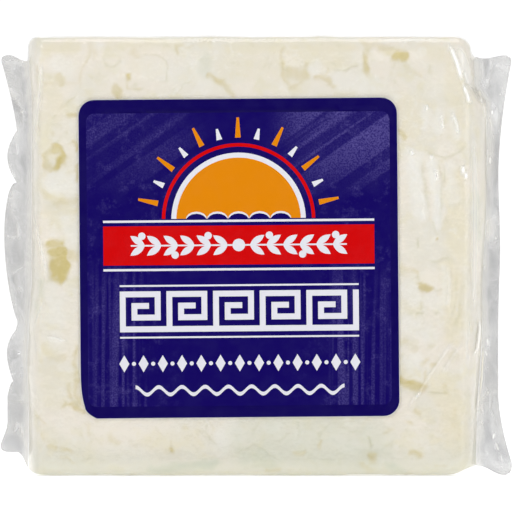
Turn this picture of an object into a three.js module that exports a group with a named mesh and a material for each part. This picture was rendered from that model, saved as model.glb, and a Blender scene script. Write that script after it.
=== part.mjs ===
// A vacuum-packed block of white cheese, standing on its long edge. Clear film is shrunk tight round
// the block and heat-sealed at its two ends, where it stands out as thin crinkled fins. A square
// label with round corners is stuck on the front.
// Millimetres, +Z up. The front faces -Y, and the origin is on the floor under the pack's middle.

import * as THREE from "three";

// Driving dimensions
const OVERALL_WIDTH = 102.4;
const BLOCK_HEIGHT = 88;
const BLOCK_DEPTH = 28;
const BLOCK_LEFT = -45.6;
const BLOCK_RIGHT = 45.4;
const LEFT_ROUNDING = 3.2;
const RIGHT_ROUNDING = 4.8;
const EDGE_RADIUS = 3.2;
const SEAL_THICKNESS = 0.5;
const LABEL_SIDE = 63.6;
const LABEL_CORNER = 3.25;
const LABEL_TUCK = 0.8;
const LABEL_TUCK_HEIGHT = 9.6;
const LABEL_TURN = (0.5 * Math.PI) / 180;
const LABEL_THICKNESS = 0.25;
const LABEL_MIDDLE = { x: -3.4, z: 43.5 };

// The label lies on the front, so the bag's middle plane is half its thickness behind the origin.
const BAG_MIDDLE_Y = LABEL_THICKNESS / 2;
const BAG_FRONT_Y = BAG_MIDDLE_Y - BLOCK_DEPTH / 2;
const HALF_DEPTH = BLOCK_DEPTH / 2;
const HALF_SEAL = SEAL_THICKNESS / 2;

// How the bag is divided: along its flat edges, round its corners, up its sides and along X.
const FLAT_STEPS = 3;
const ARC_STEPS = 3;
const ROW_SPACING = 2.7;
const STRIP_SPACING = 1.75;
const LABEL_SPACING = 3.2;
const END_STEPS = 5;
const FIN_STEPS = 4;
const TIP_STEPS = 3;

// How far each fin bows out of its plane, and how its corners are rounded: over what height, and how
// far its edge is drawn in there.
const LEFT_BOW = 1.1;
const RIGHT_BOW = 0.9;
const TIP = { height: 1.5, cut: 1.1 };
// Where the left fin is pinched in: the height of each notch, and how far the film reaches there.
const NOTCHES = [
  { z: 18.9, reach: 2.9 },
  { z: 30, reach: 1.4 },
  { z: 58.6, reach: 2.2 },
  { z: 68.9, reach: 2.2 },
];
// The lobes between the notches: how far each reaches, how blunt it is, and how much it leans up.
const LOBES = [
  { reach: 4.2, bluntness: 0.8, lean: 1 },
  { reach: 4.7, bluntness: 0.4, lean: 1.5 },
  { reach: 4.1, bluntness: 0.9, lean: 1 },
];
// The flared corners of the two fins: the heights over which they spread, and the reach between them.
const LEFT_FLARE = { low: [3.8, 10], high: [68.9, 84.5], reach: 4.05 };
const RIGHT_FLARE = { low: [5, 16], high: [60, 84.5], reach: 3 };
const RIGHT_BULGE = { reach: 0.4, z: 46, size: 9 };
const RIGHT_WRINKLE = 23;

// The upper and lower outlines of the two ends, seen from the front. On the left the block's round
// corner stands upright above the fin. On the right the corner is hollowed out towards the fin.
const LEFT_TOP = { valley: 82.9, tip: 84.1, shoulder: 85.9, corner: 2 };
const LEFT_BOTTOM = { root: 1.3, tip: 4.65, climb: 0.47 };
const RIGHT_TOP = {
  corner: [39.4, 43],
  shoulder: 85,
  valley: { x: 45.6, z: 83.4 },
  tip: { x: 49.8, z: 84 },
};
const RIGHT_BOTTOM = { start: 38.2, crest: { x: 44.4, z: 1.94 }, tip: { x: 49.6, z: 0.1 } };
const LEAST_HALF_DEPTH = 1.1;

// Soft hollows where the curd has gaps: middle, spread along X and Z, and depth.
const HOLLOWS = [
  { x: -40.0, z: 63.1, wide: 2.1, tall: 2.1, deep: 0.4 },
  { x: -39.2, z: 54.7, wide: 3.0, tall: 1.3, deep: 0.25 },
  { x: -39.6, z: 42.7, wide: 2.2, tall: 4.0, deep: 0.45 },
  { x: -41.2, z: 23.7, wide: 2.0, tall: 1.6, deep: 0.25 },
  { x: -25.2, z: 78.7, wide: 2.4, tall: 1.4, deep: 0.25 },
  { x: 6.8, z: 80.1, wide: 2.0, tall: 2.5, deep: 0.3 },
  { x: 13.8, z: 79.1, wide: 2.0, tall: 1.6, deep: 0.25 },
  { x: 26.8, z: 82.7, wide: 3.2, tall: 1.5, deep: 0.3 },
  { x: 22.8, z: 5.7, wide: 1.5, tall: 1.8, deep: 0.35 },
  { x: -16.6, z: 5.6, wide: 1.8, tall: 1.5, deep: 0.25 },
  { x: 33.8, z: 37.9, wide: 1.6, tall: 1.6, deep: 0.3 },
  { x: 31.8, z: 18.3, wide: 2.2, tall: 1.7, deep: 0.4 },
];
// Upright folds in the film's grip beside the label, on the right of the front, one of them at a
// given place.
const FOLDS = {
  left: 28.8,
  right: 40.5,
  low: 47,
  high: 66.5,
  x: 33.6,
  z: 58.7,
  pitch: 3.45,
  lean: -0.08,
  deep: 0.25,
};
// The curd's own unevenness: how deep it is at most, and the sizes of its two scales.
const SWELL = { deep: 0.36, broad: 11, fine: 4.5 };

function lerp(a, b, t) {
  return a + (b - a) * t;
}

// The share of the way from one value to another, kept between 0 and 1.
function share(from, to, value) {
  return THREE.MathUtils.clamp((value - from) / (to - from), 0, 1);
}

function smooth(from, to, value) {
  return THREE.MathUtils.smoothstep(value, from, to);
}

// 1 well inside the span, falling to 0 at its two ends over the margin.
function inside(value, low, high, margin) {
  return smooth(low, low + margin, value) * (1 - smooth(high - margin, high, value));
}

// Rises upright from 0 and levels out at 1, like a quarter of a circle.
function quarter(t) {
  return Math.sqrt(t * (2 - t));
}

// Heights of the rows up a side, with a row at each notch and more at the fins' round corners.
function sideRows() {
  const bottom = EDGE_RADIUS + TIP.height;
  const top = BLOCK_HEIGHT - EDGE_RADIUS - TIP.height;
  const stops = [bottom, ...NOTCHES.map((notch) => notch.z), top];
  const rows = [];
  for (let i = TIP_STEPS; i > 0; i--) {
    rows.push(bottom - TIP.height * Math.sin(((Math.PI / 2) * i) / TIP_STEPS));
  }
  for (let i = 0; i + 1 < stops.length; i++) {
    const steps = Math.ceil((stops[i + 1] - stops[i]) / ROW_SPACING);
    for (let k = 0; k < steps; k++) {
      rows.push(lerp(stops[i], stops[i + 1], k / steps));
    }
  }
  for (let i = 0; i <= TIP_STEPS; i++) {
    rows.push(top + TIP.height * Math.sin(((Math.PI / 2) * i) / TIP_STEPS));
  }
  return rows;
}

const ROWS = sideRows();

// A row's height in a section whose sides run from low to high: only the ends of the side move.
function rowIn(row, low, high) {
  const blend = 12;
  const bottom = EDGE_RADIUS;
  const top = BLOCK_HEIGHT - EDGE_RADIUS;
  const up = (low - bottom) * Math.max(0, 1 - (row - bottom) / blend);
  const down = (high - top) * Math.max(0, 1 - (top - row) / blend);
  return row + up + down;
}

// Half of a section, from the middle of its bottom edge round the front to the middle of its top
// edge. Each point has its distance out from the middle plane, its height, the direction that it
// faces, and the height that it has in the whole block.
function halfSection({ low, high, half }) {
  const radius = Math.min(EDGE_RADIUS, 0.6 * half);
  const flat = half - radius;
  const points = [];
  for (let i = 0; i < FLAT_STEPS; i++) {
    points.push({ out: (flat * i) / FLAT_STEPS, z: low, face: [0, -1], row: 0 });
  }
  for (let i = 0; i < ARC_STEPS; i++) {
    const turn = ((Math.PI / 2) * i) / ARC_STEPS;
    const face = [Math.sin(turn), -Math.cos(turn)];
    points.push({
      out: flat + radius * face[0],
      z: low + radius * (1 + face[1]),
      face,
      row: EDGE_RADIUS * (1 + face[1]),
    });
  }
  for (const row of ROWS) {
    points.push({ out: half, z: rowIn(row, low + radius, high - radius), face: [1, 0], row });
  }
  for (let i = 1; i <= ARC_STEPS; i++) {
    const turn = ((Math.PI / 2) * i) / ARC_STEPS;
    const face = [Math.cos(turn), Math.sin(turn)];
    points.push({
      out: flat + radius * face[0],
      z: high - radius * (1 - face[1]),
      face,
      row: BLOCK_HEIGHT - EDGE_RADIUS * (1 - face[1]),
    });
  }
  for (let i = FLAT_STEPS - 1; i >= 0; i--) {
    points.push({ out: (flat * i) / FLAT_STEPS, z: high, face: [0, 1], row: BLOCK_HEIGHT });
  }
  return points;
}

// How far a fin's outer edge is drawn in near its two corners.
function tipCut(z) {
  const low = share(EDGE_RADIUS + TIP.height, EDGE_RADIUS, z);
  const high = share(BLOCK_HEIGHT - EDGE_RADIUS - TIP.height, BLOCK_HEIGHT - EDGE_RADIUS, z);
  const s = Math.max(low, high);
  return TIP.cut * (1 - Math.sqrt(1 - s * s));
}

// How far the film of the left fin reaches past the block at a height, before its corners are rounded.
function leftReach(z) {
  const tip = OVERALL_WIDTH / 2 + BLOCK_LEFT;
  const first = NOTCHES[0];
  const last = NOTCHES[NOTCHES.length - 1];
  if (z <= first.z) {
    const lobe = lerp(first.reach, LEFT_FLARE.reach, Math.sqrt(share(first.z, first.z - 3, z)));
    return lerp(tip, lobe, smooth(...LEFT_FLARE.low, z));
  }
  if (z >= last.z) {
    return lerp(last.reach, tip, Math.pow(share(...LEFT_FLARE.high, z), 1.25));
  }
  const i = NOTCHES.findIndex((notch) => z < notch.z) - 1;
  const { reach, bluntness, lean } = LOBES[i];
  const t = share(NOTCHES[i].z, NOTCHES[i + 1].z, z);
  const notch = lerp(NOTCHES[i].reach, NOTCHES[i + 1].reach, t);
  return lerp(notch, reach, Math.pow(Math.sin(Math.PI * Math.pow(t, lean)), bluntness));
}

// How far the film of the right fin reaches past the block: a long hollow curve, flared at the ends.
function rightReach(z) {
  const tip = OVERALL_WIDTH / 2 - BLOCK_RIGHT;
  const above = Math.pow(share(...RIGHT_FLARE.high, z), 1.6);
  const below = Math.pow(share(RIGHT_FLARE.low[1], RIGHT_FLARE.low[0], z), 1.6);
  const off = (z - RIGHT_BULGE.z) / RIGHT_BULGE.size;
  const bulge = RIGHT_BULGE.reach * Math.exp(-off * off);
  return lerp(RIGHT_FLARE.reach, tip, Math.min(1, above + below)) + bulge;
}

// Where the block ends and the fin begins, at a height: the curd fills the film unevenly.
function leftEdge(z) {
  return BLOCK_LEFT + 0.55 * inside(z, 31, 83, 8) - 0.3 * inside(z, 13, 30, 8);
}

function rightEdge(z) {
  const filled = 1.2 * smooth(8, 34, z) + 0.8 * smooth(38, 56, z) - 2.4 * smooth(74.5, 79.5, z);
  return BLOCK_RIGHT - 1.1 + filled;
}

// How far the left fin bows out of its plane: each lobe to the other side from the last.
function leftBow(z) {
  const stops = [0, ...NOTCHES.map((notch) => notch.z), BLOCK_HEIGHT];
  const i = Math.max(0, stops.findIndex((stop) => z < stop) - 1);
  const t = (z - stops[i]) / (stops[i + 1] - stops[i]);
  return LEFT_BOW * (i % 2 ? 1 : -1) * Math.sin(Math.PI * Math.min(1, t));
}

function rightBow(z) {
  return RIGHT_BOW * Math.sin((2 * Math.PI * z) / RIGHT_WRINKLE) * (0.6 + 0.4 * Math.sin(z / 9));
}

// A fixed number between 0 and 1 for each point of a lattice.
function lattice(i, k, layer) {
  const value = Math.sin(127.1 * i + 311.7 * k + 74.7 * layer) * 43758.5453;
  return value - Math.floor(value);
}

// Smooth noise between 0 and 1 over a plane, one number for each layer, with cells of a given size.
function noise(u, v, cell, layer) {
  const i = Math.floor(u / cell);
  const k = Math.floor(v / cell);
  const s = smooth(0, 1, u / cell - i);
  const t = smooth(0, 1, v / cell - k);
  const near = lerp(lattice(i, k, layer), lattice(i + 1, k, layer), s);
  const far = lerp(lattice(i, k + 1, layer), lattice(i + 1, k + 1, layer), s);
  return lerp(near, far, t);
}

// The unevenness of the curd on one of its faces, always inward.
function swell(u, v, layer) {
  const broad = noise(u, v, SWELL.broad, layer);
  const fine = noise(u, v, SWELL.fine, layer + 10);
  return SWELL.deep * (0.7 * broad + 0.3 * fine);
}

// The hollow that the surface has at a point of the front.
function frontRelief(x, z) {
  let depth = swell(x, z, 1);
  for (const hollow of HOLLOWS) {
    const dx = (x - hollow.x) / hollow.wide;
    const dz = (z - hollow.z) / hollow.tall;
    depth += hollow.deep * Math.exp(-dx * dx - dz * dz);
  }
  const across = inside(x, FOLDS.left, FOLDS.right, 2);
  const along = inside(z, FOLDS.low, FOLDS.high, 5);
  const lean = FOLDS.lean * (z - FOLDS.z);
  const phase = (2 * Math.PI * (x - FOLDS.x - lean)) / FOLDS.pitch;
  depth += FOLDS.deep * across * along * (0.5 + 0.5 * Math.cos(phase));
  const edge = LABEL_SIDE / 2 + 0.3;
  const margin = 7;
  const underLabel =
    inside(x, LABEL_MIDDLE.x - edge - margin, LABEL_MIDDLE.x + edge + margin, margin) *
    inside(z, LABEL_MIDDLE.z - edge - margin, LABEL_MIDDLE.z + edge + margin, margin);
  return depth * (1 - underLabel);
}

function backRelief(x, z) {
  return swell(x, z, 2);
}

function topRelief(x, y) {
  return swell(x, y, 3);
}

// The block's top and bottom at a place along X near its left end.
function leftBlockTop(x) {
  const corner = quarter(share(leftEdge(BLOCK_HEIGHT), leftEdge(BLOCK_HEIGHT) + LEFT_TOP.corner, x));
  return lerp(LEFT_TOP.shoulder, BLOCK_HEIGHT, corner);
}

function leftBlockBottom(x) {
  return LEFT_BOTTOM.root * Math.pow(share(BLOCK_LEFT + LEFT_ROUNDING, BLOCK_LEFT, x), 2);
}

// The top and bottom of the left fin, a share of the way from the block to the fin's outer edge.
function leftFinTop(way) {
  return lerp(LEFT_TOP.valley, LEFT_TOP.tip, smooth(0.1, 0.85, way));
}

function leftFinBottom(way) {
  const climbed = Math.sin((Math.PI / 2) * share(0, LEFT_BOTTOM.climb, way));
  return lerp(LEFT_BOTTOM.root, LEFT_BOTTOM.tip, climbed);
}

// The bag's top and bottom at a place along X, over the block's right end and the right fin.
function rightTop(x) {
  const [start, end] = RIGHT_TOP.corner;
  const { valley, tip, shoulder } = RIGHT_TOP;
  if (x <= end) {
    return lerp(shoulder, BLOCK_HEIGHT, Math.sqrt(1 - Math.pow(share(start, end, x), 2)));
  }
  const hollow = lerp(shoulder, valley.z, quarter(share(end, valley.x, x)));
  return lerp(hollow, tip.z, smooth(valley.x, tip.x, x));
}

function rightBottom(x) {
  const { start, crest, tip } = RIGHT_BOTTOM;
  return lerp(crest.z * smooth(start, crest.x, x), tip.z, smooth(crest.x, tip.x, x));
}

// The left end runs from its fin's outer edge to where the block has its full depth.
function leftEnd() {
  const stations = [];
  for (let i = FIN_STEPS; i >= 0; i--) {
    const way = finWay(i);
    stations.push({
      low: leftFinBottom(way),
      high: leftFinTop(way),
      half: HALF_SEAL,
      x: (z) => lerp(leftEdge(z), BLOCK_LEFT - leftReach(z) + tipCut(z), way),
      bow: (z) => way * leftBow(z),
      relief: 0,
      sink: 0,
    });
  }
  for (let i = 0; i < END_STEPS; i++) {
    const { away, half } = endSection(i);
    const x = (z) => lerp(leftEdge(z), BLOCK_LEFT + LEFT_ROUNDING, away);
    stations.push({
      low: leftBlockBottom(x(0)),
      high: leftBlockTop(x(BLOCK_HEIGHT)),
      half,
      x,
      bow: () => 0,
      relief: smooth(0.2, 1, away),
      sink: 1,
    });
  }
  return stations;
}

function rightEnd() {
  const stations = [];
  for (let i = END_STEPS - 1; i >= 0; i--) {
    const { away, half } = endSection(i);
    const x = (z) => lerp(rightEdge(z), BLOCK_RIGHT - RIGHT_ROUNDING, away);
    stations.push({
      low: rightBottom(x(0)),
      high: rightTop(x(BLOCK_HEIGHT)),
      half,
      x,
      bow: () => 0,
      relief: smooth(0.2, 1, away),
      sink: 1,
    });
  }
  for (let i = 0; i <= FIN_STEPS; i++) {
    const way = finWay(i);
    const x = (z) => lerp(rightEdge(z), BLOCK_RIGHT + rightReach(z) - tipCut(z), way);
    stations.push({
      low: rightBottom(x(0)),
      high: rightTop(x(BLOCK_HEIGHT)),
      half: HALF_SEAL,
      x,
      bow: (z) => way * rightBow(z),
      relief: 0,
      sink: 0,
    });
  }
  return stations;
}

// The share of a fin's width at each of its sections. The first is just off the block.
function finWay(step) {
  return Math.max(0.02, step / FIN_STEPS);
}

// A section of the block's rounded end: how far it is from the fin, as a share of the rounding, and
// half its depth. The first one is at the fin.
function endSection(step) {
  const power = 2 / 2.3;
  const turn = ((Math.PI / 2) * (step + 0.25)) / (END_STEPS + 0.25);
  return {
    away: 1 - Math.pow(Math.cos(turn), power),
    half: Math.max(LEAST_HALF_DEPTH, HALF_DEPTH * Math.pow(Math.sin(turn), power)),
  };
}

// Sections along the block between its rounded ends, closer together beside the label.
function middleStations() {
  const left = BLOCK_LEFT + LEFT_ROUNDING;
  const right = BLOCK_RIGHT - RIGHT_ROUNDING;
  const labelLeft = LABEL_MIDDLE.x - LABEL_SIDE / 2;
  const labelRight = LABEL_MIDDLE.x + LABEL_SIDE / 2;
  const spans = [
    { from: left, to: labelLeft, spacing: STRIP_SPACING },
    { from: labelLeft, to: labelRight, spacing: LABEL_SPACING },
    { from: labelRight, to: right, spacing: STRIP_SPACING },
  ];
  const places = [];
  for (const { from, to, spacing } of spans) {
    const steps = Math.ceil((to - from) / spacing);
    for (let i = 0; i < steps; i++) {
      places.push(lerp(from, to, i / steps));
    }
  }
  places.push(right);
  return places.map((x) => ({
    low: rightBottom(x),
    high: rightTop(x),
    half: HALF_DEPTH,
    x: () => x,
    bow: () => 0,
    relief: 1,
    sink: 1,
  }));
}

// The points of one section, all the way round: up the front and down the back.
function sectionLoop(station) {
  const front = halfSection(station);
  const place = (point, side) => {
    const x = station.x(point.row);
    const sideRelief = side < 0 ? frontRelief(x, point.z) : backRelief(x, point.z);
    const inwards = station.relief * sideRelief * point.face[0] * point.face[0];
    const down = station.sink * topRelief(x, side * point.out) * Math.max(0, point.face[1]);
    const y = BAG_MIDDLE_Y + station.bow(point.row) + side * (point.out - inwards);
    return new THREE.Vector3(x, y, point.z - down);
  };
  const back = front.slice(1, -1).reverse();
  return [...front.map((point) => place(point, -1)), ...back.map((point) => place(point, 1))];
}

// The bag and the block in it, as one closed skin over the sections. The thin edge at each end is
// closed straight across, from each point of its front to the point behind it.
function sealedBagGeometry() {
  const loops = [...leftEnd(), ...middleStations(), ...rightEnd()].map(sectionLoop);
  const round = loops[0].length;
  const index = [];
  for (let s = 0; s + 1 < loops.length; s++) {
    for (let i = 0; i < round; i++) {
      const a = s * round + i;
      const b = s * round + ((i + 1) % round);
      index.push(a, a + round, b, b, a + round, b + round);
    }
  }
  const closeEnd = (start, flip) => {
    for (let i = 0; i < round / 2; i++) {
      const corners = [i, i + 1, (round - i - 1) % round, (round - i) % round];
      const [a, b, c, d] = corners.map((corner) => start + corner);
      const faces = [];
      if (b !== c) faces.push([a, b, c]);
      if (d !== a) faces.push([a, c, d]);
      for (const face of faces) {
        index.push(...(flip ? face.reverse() : face));
      }
    }
  };
  closeEnd(0, false);
  closeEnd((loops.length - 1) * round, true);
  const geometry = new THREE.BufferGeometry().setFromPoints(loops.flat());
  geometry.setIndex(index);
  geometry.computeVertexNormals();
  return geometry;
}

// The label's outline: a square with round corners, whose lower left corner is tucked in a little.
function labelShape() {
  const half = LABEL_SIDE / 2;
  const r = LABEL_CORNER;
  const low = LABEL_TUCK_HEIGHT / 4;
  const shape = new THREE.Shape();
  shape.moveTo(-half + LABEL_TUCK + low, -half);
  shape.lineTo(half - r, -half);
  shape.absarc(half - r, -half + r, r, -Math.PI / 2, 0);
  shape.lineTo(half, half - r);
  shape.absarc(half - r, half - r, r, 0, Math.PI / 2);
  shape.lineTo(-half + r, half);
  shape.absarc(-half + r, half - r, r, Math.PI / 2, Math.PI);
  shape.lineTo(-half, -half + 4 * low);
  shape.quadraticCurveTo(-half, -half + 2 * low, -half + LABEL_TUCK, -half + low);
  shape.quadraticCurveTo(-half + LABEL_TUCK, -half + low / 2, -half + LABEL_TUCK + low, -half);
  return shape;
}

// The label is stuck on a little askew, its right side higher.
function labelGeometry() {
  const geometry = new THREE.ExtrudeGeometry(labelShape(), {
    depth: LABEL_THICKNESS,
    bevelEnabled: false,
    curveSegments: 8,
  });
  return geometry.rotateX(Math.PI / 2).rotateY(-LABEL_TURN);
}

function sealedBag() {
  const material = new THREE.MeshStandardMaterial({
    color: 0xe1dcca,
    roughness: 0.3,
    metalness: 0,
  });
  const mesh = new THREE.Mesh(sealedBagGeometry(), material);
  mesh.name = "sealed_bag";
  return mesh;
}

function label() {
  const material = new THREE.MeshStandardMaterial({
    color: 0x1a0e62,
    roughness: 0.4,
    metalness: 0,
  });
  const mesh = new THREE.Mesh(labelGeometry(), material);
  mesh.name = "label";
  mesh.position.set(LABEL_MIDDLE.x, BAG_FRONT_Y, LABEL_MIDDLE.z);
  return mesh;
}

const feta = new THREE.Group();
feta.add(sealedBag(), label());

export default feta;
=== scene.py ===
"""The looks of a vacuum-packed block of feta: its curd, the clear film round it and its label.

The three meshes are worked out from the same sections as the solids, with finer relief. Sizes and
places are in millimetres in the frame's own axes, and turn into metres when a mesh is made: X along
the pack, -Y towards the front, Z up.
"""

import itertools

import bpy
import numpy as np
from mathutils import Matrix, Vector
from mathutils.geometry import delaunay_2d_cdt


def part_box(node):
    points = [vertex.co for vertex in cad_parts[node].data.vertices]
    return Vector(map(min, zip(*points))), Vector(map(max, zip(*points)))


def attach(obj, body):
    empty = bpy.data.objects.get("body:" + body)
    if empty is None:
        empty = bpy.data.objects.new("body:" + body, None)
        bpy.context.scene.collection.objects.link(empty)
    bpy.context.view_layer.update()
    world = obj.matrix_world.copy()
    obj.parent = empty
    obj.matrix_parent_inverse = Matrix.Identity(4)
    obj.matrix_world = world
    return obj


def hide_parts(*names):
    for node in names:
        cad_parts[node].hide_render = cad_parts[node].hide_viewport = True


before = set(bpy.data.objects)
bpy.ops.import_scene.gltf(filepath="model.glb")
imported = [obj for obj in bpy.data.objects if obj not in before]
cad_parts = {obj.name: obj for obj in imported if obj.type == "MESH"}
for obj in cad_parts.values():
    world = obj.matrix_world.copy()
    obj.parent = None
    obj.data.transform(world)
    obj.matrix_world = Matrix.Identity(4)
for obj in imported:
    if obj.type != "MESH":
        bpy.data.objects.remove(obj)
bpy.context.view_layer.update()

MM = 0.001
bag_low, bag_high = (np.array(corner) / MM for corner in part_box("sealed_bag"))
label_low, label_high = (np.array(corner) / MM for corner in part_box("label"))

# The block, from the frame and the part's own sizes
BLOCK_HEIGHT = 88.0
HALF_DEPTH = 14.0
BLOCK_LEFT = -45.6
BLOCK_RIGHT = 45.4
LEFT_ROUNDING = 3.2
RIGHT_ROUNDING = 4.8
EDGE_RADIUS = 3.2
HALF_SEAL = 0.25
LEAST_HALF_DEPTH = 1.1
MIDDLE_Y = label_high[1] + HALF_DEPTH
LABEL_MIDDLE = (label_low + label_high) / 2
LABEL_CORNER = 3.25
LABEL_TUCK = 0.8
LABEL_TUCK_HEIGHT = 9.6
LABEL_TURN = np.radians(0.5)
LABEL_SIDE = 2 * LABEL_CORNER + (label_high[0] - label_low[0] - 2 * LABEL_CORNER) / (
    np.cos(LABEL_TURN) + np.sin(LABEL_TURN)
)

# The sealed fins and the outlines of the two ends, as the part's source has them
LEFT_BOW = 1.1
RIGHT_BOW = 0.9
RIGHT_WRINKLE = 23.0
TIP = {"height": 1.5, "cut": 1.1}
NOTCH_HEIGHTS = (18.9, 30.0, 58.6, 68.9)
NOTCH_REACHES = (2.9, 1.4, 2.2, 2.2)
LOBES = (
    {"reach": 4.2, "bluntness": 0.8, "lean": 1.0},
    {"reach": 4.7, "bluntness": 0.4, "lean": 1.5},
    {"reach": 4.1, "bluntness": 0.9, "lean": 1.0},
)
LEFT_TIP = BLOCK_LEFT - bag_low[0]
RIGHT_TIP = bag_high[0] - BLOCK_RIGHT
LEFT_FLARE = {"low": (3.8, 10.0), "high": (68.9, 84.5), "reach": 4.05}
RIGHT_FLARE = {"low": (5.0, 16.0), "high": (60.0, 84.5), "reach": 3.0}
RIGHT_BULGE = {"reach": 0.4, "z": 46.0, "size": 9.0}
LEFT_TOP = {"valley": 82.9, "tip": 84.1, "shoulder": 85.9, "corner": 2.0}
LEFT_BOTTOM = {"root": 1.3, "tip": 4.65, "climb": 0.47}
RIGHT_TOP = {"corner": (39.4, 43.0), "shoulder": 85.0, "valley": (45.6, 83.4), "tip": (49.8, 84.0)}
RIGHT_BOTTOM = {"start": 38.2, "crest": (44.4, 1.94), "tip": (49.6, 0.1)}

# Soft hollows where the curd has gaps: middle, spread along X and Z, and depth
HOLLOWS = (
    (-40.0, 63.1, 2.1, 2.1, 0.4),
    (-39.2, 54.7, 3.0, 1.3, 0.25),
    (-39.6, 42.7, 2.2, 4.0, 0.45),
    (-41.2, 23.7, 2.0, 1.6, 0.25),
    (-25.2, 78.7, 2.4, 1.4, 0.25),
    (6.8, 80.1, 2.0, 2.5, 0.3),
    (13.8, 79.1, 2.0, 1.6, 0.25),
    (26.8, 82.7, 3.2, 1.5, 0.3),
    (22.8, 5.7, 1.5, 1.8, 0.35),
    (-16.6, 5.6, 1.8, 1.5, 0.25),
    (33.8, 37.9, 1.6, 1.6, 0.3),
    (31.8, 18.3, 2.2, 1.7, 0.4),
)
# Upright folds beside the label, about one at a given place that leans a little
FOLDS = {
    "left": 28.8,
    "right": 40.5,
    "low": 47.0,
    "high": 66.5,
    "x": 33.6,
    "z": 58.7,
    "pitch": 3.45,
    "lean": -0.08,
    "deep": 0.25,
}
SWELL = {"deep": 0.36, "broad": 11.0, "fine": 4.5}

# Marks on the front are placed in the photograph's pixels, of which this many millimetres is one
PIXEL = 0.2
MIDDLE_PIXEL = 256
FLOOR_PIXEL = 475.5

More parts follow.
